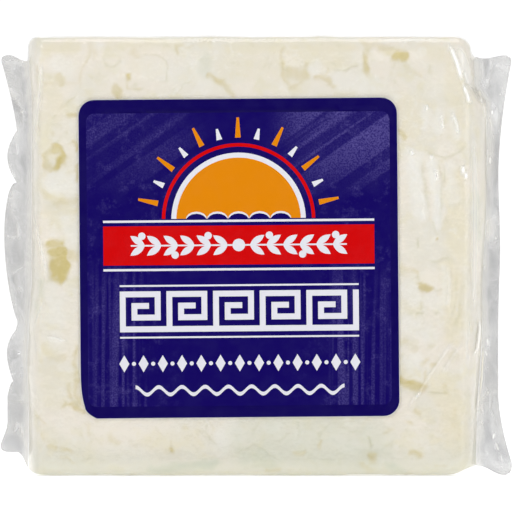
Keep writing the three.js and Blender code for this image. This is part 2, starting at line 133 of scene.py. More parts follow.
# Yellowish whey and pits between curds, and a painted shadow in strips beside the label's left edge:
# half width in pixels, strength and path
WHEY_AND_SHADOW_MARKS = (
    (5.0, 0.75, ((52, 243), (60, 244))),
    (6.5, 0.8, ((56, 252), (57, 262), (58, 276))),
    (5.0, 1.0, ((62, 250), (65, 262), (62, 278))),
    # Painted shadow beside the label's left edge
    (4.5, 0.5, ((70, 256), (78, 258))),
    (3.6, 0.5, ((52, 151), (46, 155), (46, 164), (51, 169))),
    (4.6, 0.75, ((56, 149), (63, 156), (62, 163))),
    (4.0, 1.0, ((60, 160), (59, 168))),
    (3.0, 0.6, ((54, 168), (58, 170))),
    (2.5, 0.5, ((65, 157), (67, 159))),
    (2.5, 0.25, ((54, 132), (55, 135))),
    (4.2, 0.4, ((59, 79), (62, 82))),
    (1.6, 0.22, ((46, 83), (78, 83))),
    (2.2, 0.3, ((36, 66), (37, 78))),
    (4.5, 0.35, ((46, 193), (54, 200), (60, 205))),
    (2.8, 0.4, ((58, 203), (76, 201))),
    (4.0, 0.15, ((50, 214), (53, 221))),
    (5.2, 0.32, ((46, 346), (54, 355), (64, 357))),
    (2.5, 0.2, ((56, 374), (62, 376))),
    # Painted shadow: strips just outside the label's left edge
    (2.8, 0.6, ((75, 142), (77, 150))),
    (2.4, 0.5, ((69, 116), (77, 117))),
    (1.6, 0.3, ((61, 108), (72, 99))),
    (3.0, 0.4, ((69, 385), (72, 396))),
    (2.6, 0.6, ((66, 403), (74, 404), (84, 411))),
    # Painted shadow: strips just outside the label's left edge
    (2.4, 0.5, ((77, 166), (77, 182))),
    (2.2, 0.4, ((77, 196), (77, 212))),
    (3.0, 0.45, ((77, 348), (76, 372))),
    (3.0, 0.5, ((77, 378), (78, 402))),
    (1.2, 0.45, ((36, 416), (45, 420))),
    (2.6, 0.4, ((43, 434), (46, 436))),
    (9.0, 0.14, ((45, 428), (58, 442))),
    (2.8, 0.42, ((48, 446), (57, 449))),
    (2.4, 0.45, ((62, 449), (69, 451))),
    (1.5, 0.35, ((38, 468), (54, 472))),
    (2.0, 0.3, ((62, 456), (78, 464))),
    (1.8, 0.3, ((91, 50), (86, 65), (82, 80), (82, 88))),
    (3.2, 0.28, ((92, 42), (94, 58))),
    (4.0, 0.28, ((110, 437), (118, 443))),
    (3.0, 0.2, ((132, 443), (138, 444))),
    (3.0, 0.25, ((89, 424), (91, 434))),
    (2.4, 0.6, ((172, 446), (174, 449))),
    (1.2, 0.35, ((172, 440), (173, 447))),
    (2.0, 0.35, ((184, 427), (187, 430))),
    (2.8, 0.75, ((129, 76), (130, 79))),
    (1.5, 0.4, ((129, 80), (130, 89), (140, 90))),
    (4.6, 0.5, ((118, 89), (119, 98))),
    (3.5, 0.3, ((132, 52), (138, 55))),
    (1.6, 0.45, ((176, 44), (177, 53))),
    (1.6, 0.35, ((177, 47), (193, 46))),
    (2.8, 0.48, ((208, 77), (216, 79), (222, 82))),
    (2.8, 0.42, ((222, 82), (229, 89), (234, 96))),
    (2.4, 0.4, ((281, 50), (282, 66), (286, 80), (291, 87), (297, 86))),
    (2.2, 0.42, ((306, 64), (305, 76), (300, 85))),
    (7.0, 0.4, ((291, 73), (301, 77))),
    (1.2, 0.4, ((289, 67), (296, 71), (304, 69))),
    (2.4, 0.42, ((314, 78), (324, 78), (330, 84), (333, 87))),
    (2.0, 0.38, ((328, 71), (326, 77))),
    (4.2, 0.45, ((364, 42), (366, 56))),
    (4.2, 0.6, ((366, 56), (365, 71))),
    (5.0, 0.38, ((369, 43), (384, 49), (400, 55))),
    (4.2, 0.8, ((395, 57), (404, 58))),
    (3.0, 0.25, ((405, 66), (413, 72), (419, 77))),
    (3.2, 0.5, ((401, 131), (402, 137))),
    (5.0, 0.3, ((403, 267), (409, 270))),
    (2.6, 0.5, ((412, 271), (416, 274))),
    (4.0, 0.75, ((422, 286), (427, 289))),
    (3.0, 0.55, ((419, 282), (423, 290))),
    (5.0, 0.25, ((405, 342), (413, 348))),
    (5.0, 0.75, ((402, 382), (413, 383))),
    (5.0, 0.6, ((412, 386), (420, 387))),
    (3.2, 0.4, ((424, 371), (424, 380), (421, 386))),
    (2.4, 0.4, ((421, 363), (427, 361))),
    (1.7, 0.45, ((431, 366), (435, 365))),
    (2.4, 0.35, ((444, 386), (446, 393))),
    (1.8, 0.3, ((453, 389), (457, 390))),
    (2.6, 0.4, ((413, 411), (419, 413))),
    (2.6, 0.5, ((370, 453), (374, 460))),
    (4.5, 0.4, ((362, 465), (372, 471))),
    (3.4, 0.55, ((411, 451), (418, 453))),
    (2.4, 0.35, ((406, 422), (410, 423))),
    (2.6, 0.35, ((384, 431), (392, 429))),
    (1.8, 0.4, ((319, 440), (320, 447))),
    (2.6, 0.4, ((296, 454), (305, 451))),
    (2.6, 0.6, ((267, 470), (278, 470))),
    (1.8, 0.35, ((432, 467), (446, 467))),
    (4.5, 0.22, ((453, 412), (456, 436))),
    (0.8, 1.0, ((437, 240), (437, 241))),
)
# Where the curd is wet and greenish grey: half width in pixels, strength and path
WET_MARKS = (
    (28.0, 0.4, ((255, 440), (300, 438), (360, 444))),
    (5.5, 0.9, ((154, 472), (176, 467), (215, 464))),
    (9.0, 0.6, ((247, 457), (258, 452), (270, 461))),
    (5.5, 0.8, ((390, 466), (402, 475))),
    (3.0, 0.5, ((477, 195), (478, 240))),
    (3.0, 0.4, ((41, 283), (42, 295))),
    (2.5, 0.4, ((36, 303), (38, 311))),
    (4.0, 0.5, ((477, 445), (476, 462))),
    (6.0, 0.3, ((205, 60), (204, 72))),
)
# Where the curd is creamiest: half width in pixels, strength and path
CREAM_MARKS = (
    (12.0, 0.7, ((453, 180), (457, 250))),
    (9.0, 0.5, ((452, 62), (456, 100), (459, 140))),
    (9.0, 0.7, ((448, 268), (455, 300), (452, 336))),
    (14.0, 0.7, ((440, 385), (452, 410), (455, 440))),
    (12.0, 0.5, ((405, 105), (412, 130))),
    (8.0, 0.5, ((424, 48), (440, 56))),
    (7.0, 0.7, ((46, 46), (62, 49), (76, 46))),
    (9.0, 0.5, ((52, 92), (58, 112))),
    (7.0, 0.4, ((45, 118), (46, 142))),
    (7.0, 0.5, ((44, 178), (40, 186))),
    (7.0, 0.4, ((50, 212), (58, 224))),
    (10.0, 0.3, ((50, 372), (52, 400))),
    (7.0, 0.6, ((232, 48), (300, 47), (350, 48))),
    (6.0, 0.4, ((110, 45), (180, 45))),
    (14.0, 0.3, ((230, 66), (280, 68))),
    (9.0, 0.4, ((300, 56), (345, 60))),
    (9.0, 0.3, ((140, 68), (156, 70))),
    (10.0, 0.3, ((150, 442), (196, 440))),
    (8.0, 0.3, ((70, 446), (110, 462))),
)
# Where the curd is whitest: half width in pixels, strength and path. The last four are painted
# highlights: glints of the film painted into the curd as white.
PALE_AND_GLINT_MARKS = (
    (8.0, 0.8, ((411, 156), (415, 185), (420, 213))),
    (5.0, 0.9, ((431, 163), (436, 190), (438, 223))),
    (6.0, 0.5, ((449, 166), (451, 200))),
    (3.0, 0.7, ((425, 108), (425, 130))),
    (3.6, 0.7, ((437, 113), (438, 133))),
    (4.2, 0.7, ((451, 113), (456, 138))),
    (9.0, 0.5, ((408, 325), (428, 333))),
    (8.0, 0.5, ((409, 288), (412, 300))),
    (7.0, 0.5, ((430, 299), (434, 304))),
    (6.5, 0.7, ((408, 362), (417, 359))),
    (3.5, 0.5, ((444, 270), (447, 300))),
    (9.0, 0.7, ((52, 181), (66, 182), (72, 186))),
    (7.0, 0.5, ((68, 222), (74, 236))),
    (8.0, 0.4, ((54, 292), (58, 318))),
    (9.0, 0.5, ((60, 66), (68, 70))),
    (5.0, 0.4, ((50, 342), (62, 338))),
    (9.0, 0.4, ((195, 66), (206, 84))),
    (9.0, 0.5, ((340, 82), (372, 86))),
    (6.0, 0.5, ((312, 70), (316, 66))),
    (12.0, 0.3, ((150, 68), (180, 76))),
    (8.0, 0.6, ((222, 438), (232, 428))),
    (8.0, 0.5, ((338, 442), (352, 446))),
    (10.0, 0.3, ((110, 455), (140, 452))),
    (5.0, 0.5, ((268, 428), (280, 424))),
    (4.0, 0.4, ((238, 424), (240, 438))),
    (4.0, 0.4, ((300, 424), (296, 440))),
    # Painted highlights: glints of the film, painted into the curd's colour
    (1.3, 0.6, ((175, 96), (184, 84), (196, 74))),
    (1.0, 0.5, ((192, 94), (198, 86))),
    (0.8, 1.0, ((207, 461), (216, 459))),
    (1.6, 0.5, ((216, 459), (223, 455), (226, 446))),
)
FRONT_MARKS = {"whey_and_shadow": WHEY_AND_SHADOW_MARKS, "wet": WET_MARKS, "pale_and_glint": PALE_AND_GLINT_MARKS, "cream": CREAM_MARKS}
# Their like on the sides that the photograph doesn't show
HIDDEN_MARKS = {
    "whey_and_shadow": {"strength": 0.55, "cell": 5.0, "least": 0.72, "layer": 21},
    "wet": {"strength": 0.3, "cell": 11.0, "least": 0.6, "layer": 31},
    "pale_and_glint": {"strength": 0.7, "cell": 6.0, "least": 0.6, "layer": 26},
}
# Fine lines where two curds meet: half width in pixels, strength and path
CURD_LINES = (
    (0.9, 0.35, ((104, 56), (106, 66), (113, 68), (122, 62), (118, 56))),
    (1.0, 0.35, ((143, 55), (158, 56), (167, 61), (168, 82), (157, 83))),
    (1.1, 0.35, ((132, 88), (139, 91), (146, 88))),
    (0.9, 0.3, ((178, 94), (186, 84), (193, 82))),
    (1.0, 0.45, ((330, 71), (345, 71), (357, 66), (361, 62))),
    (0.8, 0.5, ((53, 119), (57, 115))),
    (0.8, 0.5, ((66, 104), (78, 94))),
    (1.2, 0.4, ((419, 146), (430, 154), (446, 157), (457, 153), (465, 146), (469, 134))),
    (1.6, 0.35, ((421, 155), (423, 180), (427, 205), (429, 216))),
    (1.3, 0.3, ((437, 160), (441, 178), (441, 200), (440, 226))),
    (1.2, 0.4, ((262, 419), (253, 429), (254, 438))),
    (1.2, 0.4, ((296, 418), (300, 430), (296, 442))),
    (1.2, 0.35, ((331, 421), (321, 431), (318, 440))),
    (1.2, 0.3, ((276, 442), (284, 437), (291, 430))),
    (1.3, 0.35, ((336, 424), (350, 431), (364, 430))),
    (1.1, 0.3, ((208, 418), (207, 430), (200, 435))),
    (1.2, 0.3, ((430, 218), (437, 238))),
    (1.2, 0.35, ((443, 162), (443, 188))),
    (1.3, 0.45, ((417, 236), (417, 250))),
    (1.4, 0.35, ((424, 258), (434, 262), (446, 258), (455, 264))),
    (1.0, 0.5, ((415, 275), (419, 281))),
    (1.0, 0.4, ((431, 290), (443, 290))),
    (1.0, 0.35, ((406, 314), (412, 313))),
    (1.3, 0.55, ((415, 313), (424, 313))),
    (1.0, 0.35, ((419, 300), (420, 313))),
    (1.2, 0.4, ((434, 315), (439, 310))),
    (1.8, 0.35, ((465, 272), (462, 288), (458, 316), (450, 334))),
    (1.4, 0.25, ((455, 268), (455, 300), (446, 326))),
    (1.1, 0.45, ((425, 391), (440, 393), (449, 391))),
    (1.6, 0.45, ((67, 395), (76, 402), (82, 408))),
    (1.2, 0.35, ((194, 430), (206, 432), (213, 440), (219, 447))),
    (1.3, 0.45, ((228, 452), (244, 449), (256, 443), (270, 453), (285, 465))),
    (1.2, 0.4, ((240, 472), (250, 466), (266, 465), (284, 468))),
    (1.2, 0.4, ((316, 459), (330, 460), (346, 464))),
    (1.0, 0.35, ((319, 428), (319, 440))),
    (1.5, 0.9, ((366, 434), (370, 438), (371, 444), (370, 448))),
    (1.4, 0.6, ((369, 452), (372, 458))),
    (1.0, 0.35, ((427, 436), (434, 434))),
    (0.9, 0.3, ((60, 462), (82, 460), (96, 452))),
)
# Ridges of film over the curd: half width in pixels, height, how white the film is painted along it
# (a painted highlight; rows of no height are painted light bands only), and path
FILM_RIDGES_AND_HIGHLIGHTS = (
    (1.8, 0.18, 1.0, ((446, 43), (451, 51), (456, 63), (459, 74), (462, 84))),
    (1.5, 0.14, 0.95, ((462, 84), (466, 95), (470, 106))),
    (1.6, 0.2, 0.7, ((463, 70), (465, 78), (468, 87))),
    (5.0, 0.03, 0.5, ((453, 42), (461, 58), (468, 78), (474, 96))),
    (3.0, 0.0, 0.5, ((469, 82), (477, 93), (484, 106))),
    (3.6, 0.0, 0.4, ((471, 104), (473, 150), (474, 200), (474, 250), (473, 300), (472, 345))),
    (1.4, 0.2, 0.85, ((478, 88), (480, 98), (481, 106))),
    (2.2, 0.05, 0.4, ((483, 100), (484, 122))),
    (1.5, 0.08, 0.5, ((425, 105), (427, 111))),
    (1.5, 0.1, 0.4, ((441, 114), (442, 131))),
    (1.5, 0.08, 0.5, ((451, 112), (456, 125), (458, 136))),
    (1.5, 0.15, 0.6, ((410, 150), (413, 156))),
    (1.5, 0.15, 0.6, ((430, 155), (431, 160))),
    (1.5, 0.1, 0.4, ((435, 170), (437, 182))),
    (1.5, 0.03, 1.0, ((460, 164), (463, 172), (467, 181))),
    (1.5, 0.2, 0.9, ((478, 315), (479, 328), (477, 347), (475, 351), (473, 357))),
    (1.5, 0.2, 0.8, ((481, 336), (482, 354), (481, 380), (477, 404), (473, 421))),
    (1.5, 0.1, 0.3, ((471, 300), (468, 330), (466, 345), (468, 380))),
    (1.5, 0.1, 0.22, ((458, 334), (446, 350), (434, 368), (421, 388), (411, 402), (406, 413))),
    (1.5, 0.1, 0.15, ((464, 339), (452, 356), (440, 376))),
    (1.5, 0.04, 0.35, ((421, 390), (414, 399))),
    (
        2.2,
        0.04,
        0.35,
        ((45, 38), (40, 46), (38, 60), (42, 74), (40, 96), (37, 130), (35, 165), (39, 181)),
    ),
    (1.8, 0.04, 0.35, ((39, 181), (33, 190), (35, 215), (39, 236), (44, 256), (47, 272), (47, 292))),
    (1.6, 0.04, 0.3, ((47, 292), (44, 304), (38, 316), (34, 328), (36, 346), (38, 366))),
    (1.4, 0.08, 0.3, ((46, 336), (56, 338), (68, 341))),
    (2.0, 0.05, 0.3, ((372, 43), (398, 41), (430, 40))),
    (2.0, 0.05, 0.2, ((447, 263), (449, 285), (447, 311))),
    (4.0, 0.05, 0.2, ((468, 262), (468, 300), (464, 348))),
)
# Patches in the fins: how much lighter, half width and half height in pixels, and middle
FIN_PATCHES = (
    (0.1, 8, 30, (14, 80)),
    (-0.15, 5, 30, (18, 140)),
    (-0.35, 14, 24, (491, 456)),
    (-0.3, 7, 26, (492, 196)),
    (-0.15, 10, 20, (494, 410)),
    (-0.3, 5, 6, (20, 71)),
    (-0.35, 5, 9, (25, 87)),
    (-0.3, 4, 6, (16, 106)),
    (-0.3, 3, 26, (28, 128)),
    (-0.35, 5, 18, (26, 166)),
    (-0.15, 4, 8, (11, 155)),
    (0.2, 9, 12, (14, 200)),
    (-0.25, 6, 13, (13, 227)),
    (-0.3, 7, 14, (17, 254)),
    (-0.3, 3, 4, (13, 280)),
    (-0.3, 3, 3, (18, 294)),
    (-0.2, 7, 14, (15, 351)),
    (-0.2, 6, 8, (20, 390)),
    (-0.25, 8, 10, (15, 410)),
    (-0.35, 10, 10, (15, 443)),
    (0.15, 5, 12, (480, 72)),
    (-0.3, 3, 12, (488, 66)),
    (-0.2, 7, 16, (495, 88)),
    (0.35, 6, 11, (494, 122)),
    (-0.35, 4, 26, (497, 163)),
    (-0.25, 4, 8, (491, 199)),
    (0.35, 6, 16, (492, 226)),
    (-0.3, 7, 40, (492, 287)),
    (-0.2, 8, 14, (490, 372)),
    (-0.3, 5, 12, (486, 430)),
    (-0.3, 8, 12, (505, 452)),
)
# Light ridges in the fins: half width in pixels, how much lighter, and path
FIN_RIDGES = (
    (1.2, 0.25, ((4, 60), (12, 61), (20, 64), (27, 65))),
    (1.5, 0.3, ((8, 82), (13, 93), (18, 103), (23, 112))),
    (2.5, 0.3, ((21, 118), (19, 140), (19, 178))),
    (1.3, 0.35, ((6, 217), (9, 222), (7, 227))),
    (1.6, 0.3, ((17, 214), (20, 238), (21, 262))),
    (1.2, 0.3, ((6, 237), (18, 240))),
    (1.5, 0.35, ((22, 266), (19, 271), (13, 275), (10, 279))),
    (1.3, 0.25, ((21, 284), (25, 291))),
    (1.6, 0.4, ((21, 353), (21, 355))),
    (1.3, 0.3, ((10, 370), (18, 363), (22, 361))),
    (1.2, 0.35, ((17, 404), (21, 403))),
    (1.7, 0.45, ((5, 434), (11, 433), (16, 428), (18, 422), (22, 424), (25, 440), (28, 458))),
    (1.6, 0.3, ((492, 58), (492, 68), (488, 80), (485, 90))),
    (1.2, 0.25, ((497, 70), (499, 65), (502, 66), (504, 74))),
    (1.3, 0.3, ((508, 62), (506, 72))),
    (1.2, 0.25, ((496, 192), (494, 208))),
    (1.0, 0.25, ((490, 243), (495, 244), (498, 239))),
    (1.0, 0.35, ((488, 365), (492, 367))),
    (1.3, 0.4, ((492, 392), (492, 404), (489, 411), (492, 418), (495, 424))),
    (1.3, 0.4, ((480, 402), (480, 410), (483, 414), (486, 413))),
    (1.4, 0.3, ((478, 418), (481, 428), (480, 441), (483, 446))),
    (1.4, 0.45, ((482, 445), (488, 448), (489, 454), (496, 462), (504, 472))),
    (1.4, 0.6, ((496, 441), (497, 447), (500, 453))),
    (1.1, 0.4, ((500, 453), (502, 461), (506, 464))),
    (1.0, 0.3, ((484, 454), (488, 463), (492, 469))),
)
# Glints in the fins: half width in pixels, how white, and path
FIN_GLINTS = (
    (1.2, 0.9, ((21, 111), (23, 114))),
    (1.0, 0.8, ((499, 94), (501, 95))),
    (1.1, 0.9, ((492, 110), (492, 115))),
    (1.3, 0.8, ((487, 149), (486, 156))),
    (1.4, 0.9, ((490, 156), (490, 160), (489, 165))),
    (1.0, 0.8, ((487, 183), (487, 185))),
    (1.0, 0.8, ((496, 237), (496, 239))),
    (1.3, 0.7, ((483, 266), (484, 270))),
    (1.4, 0.8, ((487, 337), (488, 347))),
    (1.1, 0.9, ((485, 350), (487, 357))),
    (1.2, 0.8, ((483, 397), (484, 396))),
    (1.4, 0.9, ((487, 393), (489, 392))),
    (1.3, 0.9, ((494, 432), (493, 440))),
    (1.5, 0.7, ((496, 441), (497, 447), (499, 452))),
    (1.0, 0.4, ((500, 453), (502, 461), (506, 464))),
)

# How finely the meshes are divided: counts of steps, and spacings in millimetres
ARC_STEPS = 8
FLAT_STEPS = 8
FIN_STEPS = 28
END_STEPS = 18
FILM_ROWS = {"front": 0.25, "back": 0.9}
CURD_ROWS = {"front": 0.28, "back": 1.2}
FILM_SPACING = {"strip": 0.27, "middle": 0.95}
CURD_SPACING = {"strip": 0.28, "middle": 0.28}
LABEL_SPACING = 1.3
# How far the curd lies inside the film, and how much deeper its pockets and seams are
CURD_INSET = 0.16
PIT_DEPTH = 0.3
# How far from its bottom and its top a section's rows shift to meet them
END_BLEND = 12
# The share of a rounded end's depth over which the seal's grey shows on the block
SEAL_BLEND = 0.06
# How far inside the label's edge the hidden part of a surface is one flat face
HIDDEN_MARGIN = 1.2

# The studio, in metres and watts
MIDDLE_HEIGHT = 0.044
CAMERA_HEIGHT = 0.0439
CAMERA_DISTANCE = 4.0
LIGHTS = {
    "key": {"place": (-0.55, -0.9, 0.75), "size": 0.45, "watts": 4.9},
    "fill": {"place": (0.8, -0.9, 0.35), "size": 0.6, "watts": 2.9},
    "top": {"place": (0.1, -0.1, 1.1), "size": 0.6, "watts": 3.6},
}


def lerp(a, b, t):
    return a + (b - a) * t


def share(start, end, value):
    """The share of the way from one value to another, kept between 0 and 1."""
    return np.clip((value - start) / (end - start), 0, 1)


def divided(stops, gaps):
    """Places from stop to stop, evenly spaced and no further apart than the gap of each stretch."""
    places = []
    for start, end, gap in zip(stops, stops[1:], gaps):
        places.extend(np.linspace(start, end, int(np.ceil((end - start) / gap)), endpoint=False))
    return np.array([*places, stops[-1]])


def smooth(start, end, value):
    t = share(start, end, value)
    return t * t * (3 - 2 * t)


def inside(value, low, high, margin):
    """1 well inside the span, falling to 0 at its two ends over the margin."""
    return smooth(low, low + margin, value) * (1 - smooth(high - margin, high, value))


def quarter(t):
    """Rises upright from 0 and levels out at 1, like a quarter of a circle."""
    return np.sqrt(t * (2 - t))


def lattice(i, k, layer):
    """A fixed number between 0 and 1 for each point of a lattice."""
    value = np.sin(127.1 * i + 311.7 * k + 74.7 * layer) * 43758.5453
    return value - np.floor(value)


def noise(u, v, cell, layer):
    """Smooth noise between 0 and 1 over a plane, with cells of a given size."""
    i = np.floor(u / cell)
    k = np.floor(v / cell)
    s = smooth(0, 1, u / cell - i)
    t = smooth(0, 1, v / cell - k)
    near = lerp(lattice(i, k, layer), lattice(i + 1, k, layer), s)
    far = lerp(lattice(i, k + 1, layer), lattice(i + 1, k + 1, layer), s)
    return lerp(near, far, t)


def noise_in_space(points, cell, layer):
    """Smooth noise between 0 and 1 at points in space."""
    level = np.floor(points[..., 1] / cell)
    t = smooth(0, 1, points[..., 1] / cell - level)
    lower = noise(points[..., 0], points[..., 2], cell, layer + 17 * level)
    upper = noise(points[..., 0], points[..., 2], cell, layer + 17 * (level + 1))
    return lerp(lower, upper, t)


def swell(u, v, layer):
    """The unevenness of the curd on one of its faces, always inward."""
    broad = noise(u, v, SWELL["broad"], layer)
    fine = noise(u, v, SWELL["fine"], layer + 10)
    return SWELL["deep"] * (0.7 * broad + 0.3 * fine)


def under_label(x, z):
    """1 under the label, falling to 0 just outside its edge."""
    edge = LABEL_SIDE / 2 + 0.3
    margin = 7
    across = inside(x, LABEL_MIDDLE[0] - edge - margin, LABEL_MIDDLE[0] + edge + margin, margin)
    up = inside(z, LABEL_MIDDLE[2] - edge - margin, LABEL_MIDDLE[2] + edge + margin, margin)
    return across * up


def front_relief(x, z):
    """How deep the surface lies at a point of the front."""
    depth = swell(x, z, 1)
    for middle_x, middle_z, wide, tall, deep in HOLLOWS:
        off = ((x - middle_x) / wide) ** 2 + ((z - middle_z) / tall) ** 2
        depth = depth + deep * np.exp(-off)
    across = inside(x, FOLDS["left"], FOLDS["right"], 2)
    along = inside(z, FOLDS["low"], FOLDS["high"], 5)
    lean = FOLDS["lean"] * (z - FOLDS["z"])
    phase = 2 * np.pi * (x - FOLDS["x"] - lean) / FOLDS["pitch"]
    depth = depth + FOLDS["deep"] * across * along * (0.5 + 0.5 * np.cos(phase))
    return depth * (1 - under_label(x, z))


def tip_cut(z):
    """How far a fin's outer edge is drawn in near its two corners."""
    bottom, top = EDGE_RADIUS, BLOCK_HEIGHT - EDGE_RADIUS
    near_low = share(bottom + TIP["height"], bottom, z)
    near_high = share(top - TIP["height"], top, z)
    return TIP["cut"] * (1 - np.sqrt(1 - np.maximum(near_low, near_high) ** 2))


def left_reach(z):
    """How far the film of the left fin reaches past the block at a height."""
    first, last = NOTCH_HEIGHTS[0], NOTCH_HEIGHTS[-1]
    lobe_low = lerp(NOTCH_REACHES[0], LEFT_FLARE["reach"], np.sqrt(share(first, first - 3, z)))
    lowest = lerp(LEFT_TIP, lobe_low, smooth(*LEFT_FLARE["low"], z))
    highest = lerp(NOTCH_REACHES[-1], LEFT_TIP, share(*LEFT_FLARE["high"], z) ** 1.25)
    reach = np.where(z <= first, lowest, highest)
    for i, lobe in enumerate(LOBES):
        low, high = NOTCH_HEIGHTS[i], NOTCH_HEIGHTS[i + 1]
        t = share(low, high, z)
        notch = lerp(NOTCH_REACHES[i], NOTCH_REACHES[i + 1], t)
        bulge = np.sin(np.pi * t ** lobe["lean"]).clip(0) ** lobe["bluntness"]
        reach = np.where((z > low) & (z < high), lerp(notch, lobe["reach"], bulge), reach)
    return reach


def right_reach(z):
    """How far the film of the right fin reaches past the block: hollow, flared at the ends."""
    above = share(*RIGHT_FLARE["high"], z) ** 1.6
    below = share(RIGHT_FLARE["low"][1], RIGHT_FLARE["low"][0], z) ** 1.6
    bulge = RIGHT_BULGE["reach"] * np.exp(-(((z - RIGHT_BULGE["z"]) / RIGHT_BULGE["size"]) ** 2))
    return lerp(RIGHT_FLARE["reach"], RIGHT_TIP, np.minimum(1, above + below)) + bulge


def left_edge(z):
    """Where the block ends and the fin begins: the curd fills the film unevenly."""
    return BLOCK_LEFT + 0.55 * inside(z, 31, 83, 8) - 0.3 * inside(z, 13, 30, 8)


def right_edge(z):
    filled = 1.2 * smooth(8, 34, z) + 0.8 * smooth(38, 56, z) - 2.4 * smooth(74.5, 79.5, z)
    return BLOCK_RIGHT - 1.1 + filled


def left_bow(z):
    """How far the left fin bows out of its plane: each lobe to the other side from the last."""
    stops = np.array([0, *NOTCH_HEIGHTS, BLOCK_HEIGHT])
    i = np.clip(np.searchsorted(stops, z, side="right") - 1, 0, len(stops) - 2)
    t = (z - stops[i]) / (stops[i + 1] - stops[i])
    return LEFT_BOW * np.where(i % 2 == 1, 1, -1) * np.sin(np.pi * np.minimum(1, t))


def right_bow(z):
    return RIGHT_BOW * np.sin(2 * np.pi * z / RIGHT_WRINKLE) * (0.6 + 0.4 * np.sin(z / 9))


def left_block_top(x):
    edge = left_edge(BLOCK_HEIGHT)
    corner = quarter(share(edge, edge + LEFT_TOP["corner"], x))
    return lerp(LEFT_TOP["shoulder"], BLOCK_HEIGHT, corner)


def left_block_bottom(x):
    return LEFT_BOTTOM["root"] * share(BLOCK_LEFT + LEFT_ROUNDING, BLOCK_LEFT, x) ** 2


def left_fin_top(way):
    return lerp(LEFT_TOP["valley"], LEFT_TOP["tip"], smooth(0.1, 0.85, way))


def left_fin_bottom(way):
    climbed = np.sin(np.pi / 2 * share(0, LEFT_BOTTOM["climb"], way))
    return lerp(LEFT_BOTTOM["root"], LEFT_BOTTOM["tip"], climbed)


def right_top(x):
    """The bag's top at a place along X, over the block's right end and the right fin."""
    start, end = RIGHT_TOP["corner"]
    (valley_x, valley_z), (tip_x, tip_z) = RIGHT_TOP["valley"], RIGHT_TOP["tip"]
    if x <= end:
        rounded = np.sqrt(1 - share(start, end, x) ** 2)
        return lerp(RIGHT_TOP["shoulder"], BLOCK_HEIGHT, rounded)
    hollow = lerp(RIGHT_TOP["shoulder"], valley_z, quarter(share(end, valley_x, x)))
    return lerp(hollow, tip_z, smooth(valley_x, tip_x, x))


def right_bottom(x):
    (crest_x, crest_z), (tip_x, tip_z) = RIGHT_BOTTOM["crest"], RIGHT_BOTTOM["tip"]
    rise = crest_z * smooth(RIGHT_BOTTOM["start"], crest_x, x)
    return lerp(rise, tip_z, smooth(crest_x, tip_x, x))


def block_section(x, low, high, half=HALF_DEPTH, away=1.0):
    """A section of the block. Near an end, away is its distance from the fin as a share."""
    return {
        "low": low,
        "high": high,
        "half": half,
        "x": x,
        "bow": np.zeros_like,
        "relief": smooth(0.2, 1, away),
        "sink": 1,
        "seal": smooth(SEAL_BLEND, 0, away),
    }


def fin_section(x, low, high, way, bow):
    """A section of a fin, a share of the way from the block to the fin's outer edge."""
    return {
        "low": low,
        "high": high,
        "half": lerp(LEAST_HALF_DEPTH, HALF_SEAL, smooth(0, 0.25, way)),
        "x": x,
        "bow": lambda z: way * bow(z),
        "relief": 0,
        "sink": 0,
        "seal": 1,
    }


def end_section(edge, whole, bottom, top, away, half):
    """A section of a rounded end, from the fin to where the block has its whole depth."""

    def x(z):
        return lerp(edge(z), whole, away)

    return block_section(x, bottom(x(0)), top(x(BLOCK_HEIGHT)), half, away)


def left_fin_section(way):
    def x(z):
        return lerp(left_edge(z), BLOCK_LEFT - left_reach(z) + tip_cut(z), way)

    return fin_section(x, left_fin_bottom(way), left_fin_top(way), way, left_bow)


def right_fin_section(way):
    def x(z):
        return lerp(right_edge(z), BLOCK_RIGHT + right_reach(z) - tip_cut(z), way)

    return fin_section(x, right_bottom(x(0)), right_top(x(BLOCK_HEIGHT)), way, right_bow)


def middle_section(place):
    return block_section(lambda z: place + 0 * z, right_bottom(place), right_top(place))


def end_steps():
    """How far each section of a rounded end is from the fin, as a share, and half its depth."""
    power = 2 / 2.3
    turns = np.pi / 2 * (np.arange(END_STEPS) + 0.25) / (END_STEPS + 0.25)
    halves = np.maximum(LEAST_HALF_DEPTH, HALF_DEPTH * np.sin(turns) ** power)
    return list(zip(1 - np.cos(turns) ** power, halves))


def block_sections(spacing):
    """Sections along the whole block, closer together beside the label."""
    stops = (BLOCK_LEFT + LEFT_ROUNDING, label_low[0], label_high[0], BLOCK_RIGHT - RIGHT_ROUNDING)
    gaps = (spacing["strip"], spacing["middle"], spacing["strip"])
    left = (left_edge, stops[0], left_block_bottom, left_block_top)
    right = (right_edge, stops[-1], right_bottom, right_top)
    return [
        *(end_section(*left, *step) for step in end_steps()),
        *(middle_section(place) for place in divided(stops, gaps)),
        *(end_section(*right, *step) for step in end_steps()[::-1]),
    ]


def bag_sections():
    """Sections from the outer edge of the left fin to the outer edge of the right one."""
    ways = [0.01, *(np.arange(1, FIN_STEPS + 1) / FIN_STEPS)]
    left = [left_fin_section(way) for way in ways[::-1]]
    return left + block_sections(FILM_SPACING) + [right_fin_section(way) for way in ways]


def side_rows(spacing):
    """Heights of the rows up a side, with a row at each notch of the left fin."""
    stops = (EDGE_RADIUS, *NOTCH_HEIGHTS, BLOCK_HEIGHT - EDGE_RADIUS)
    return divided(stops, itertools.repeat(spacing))


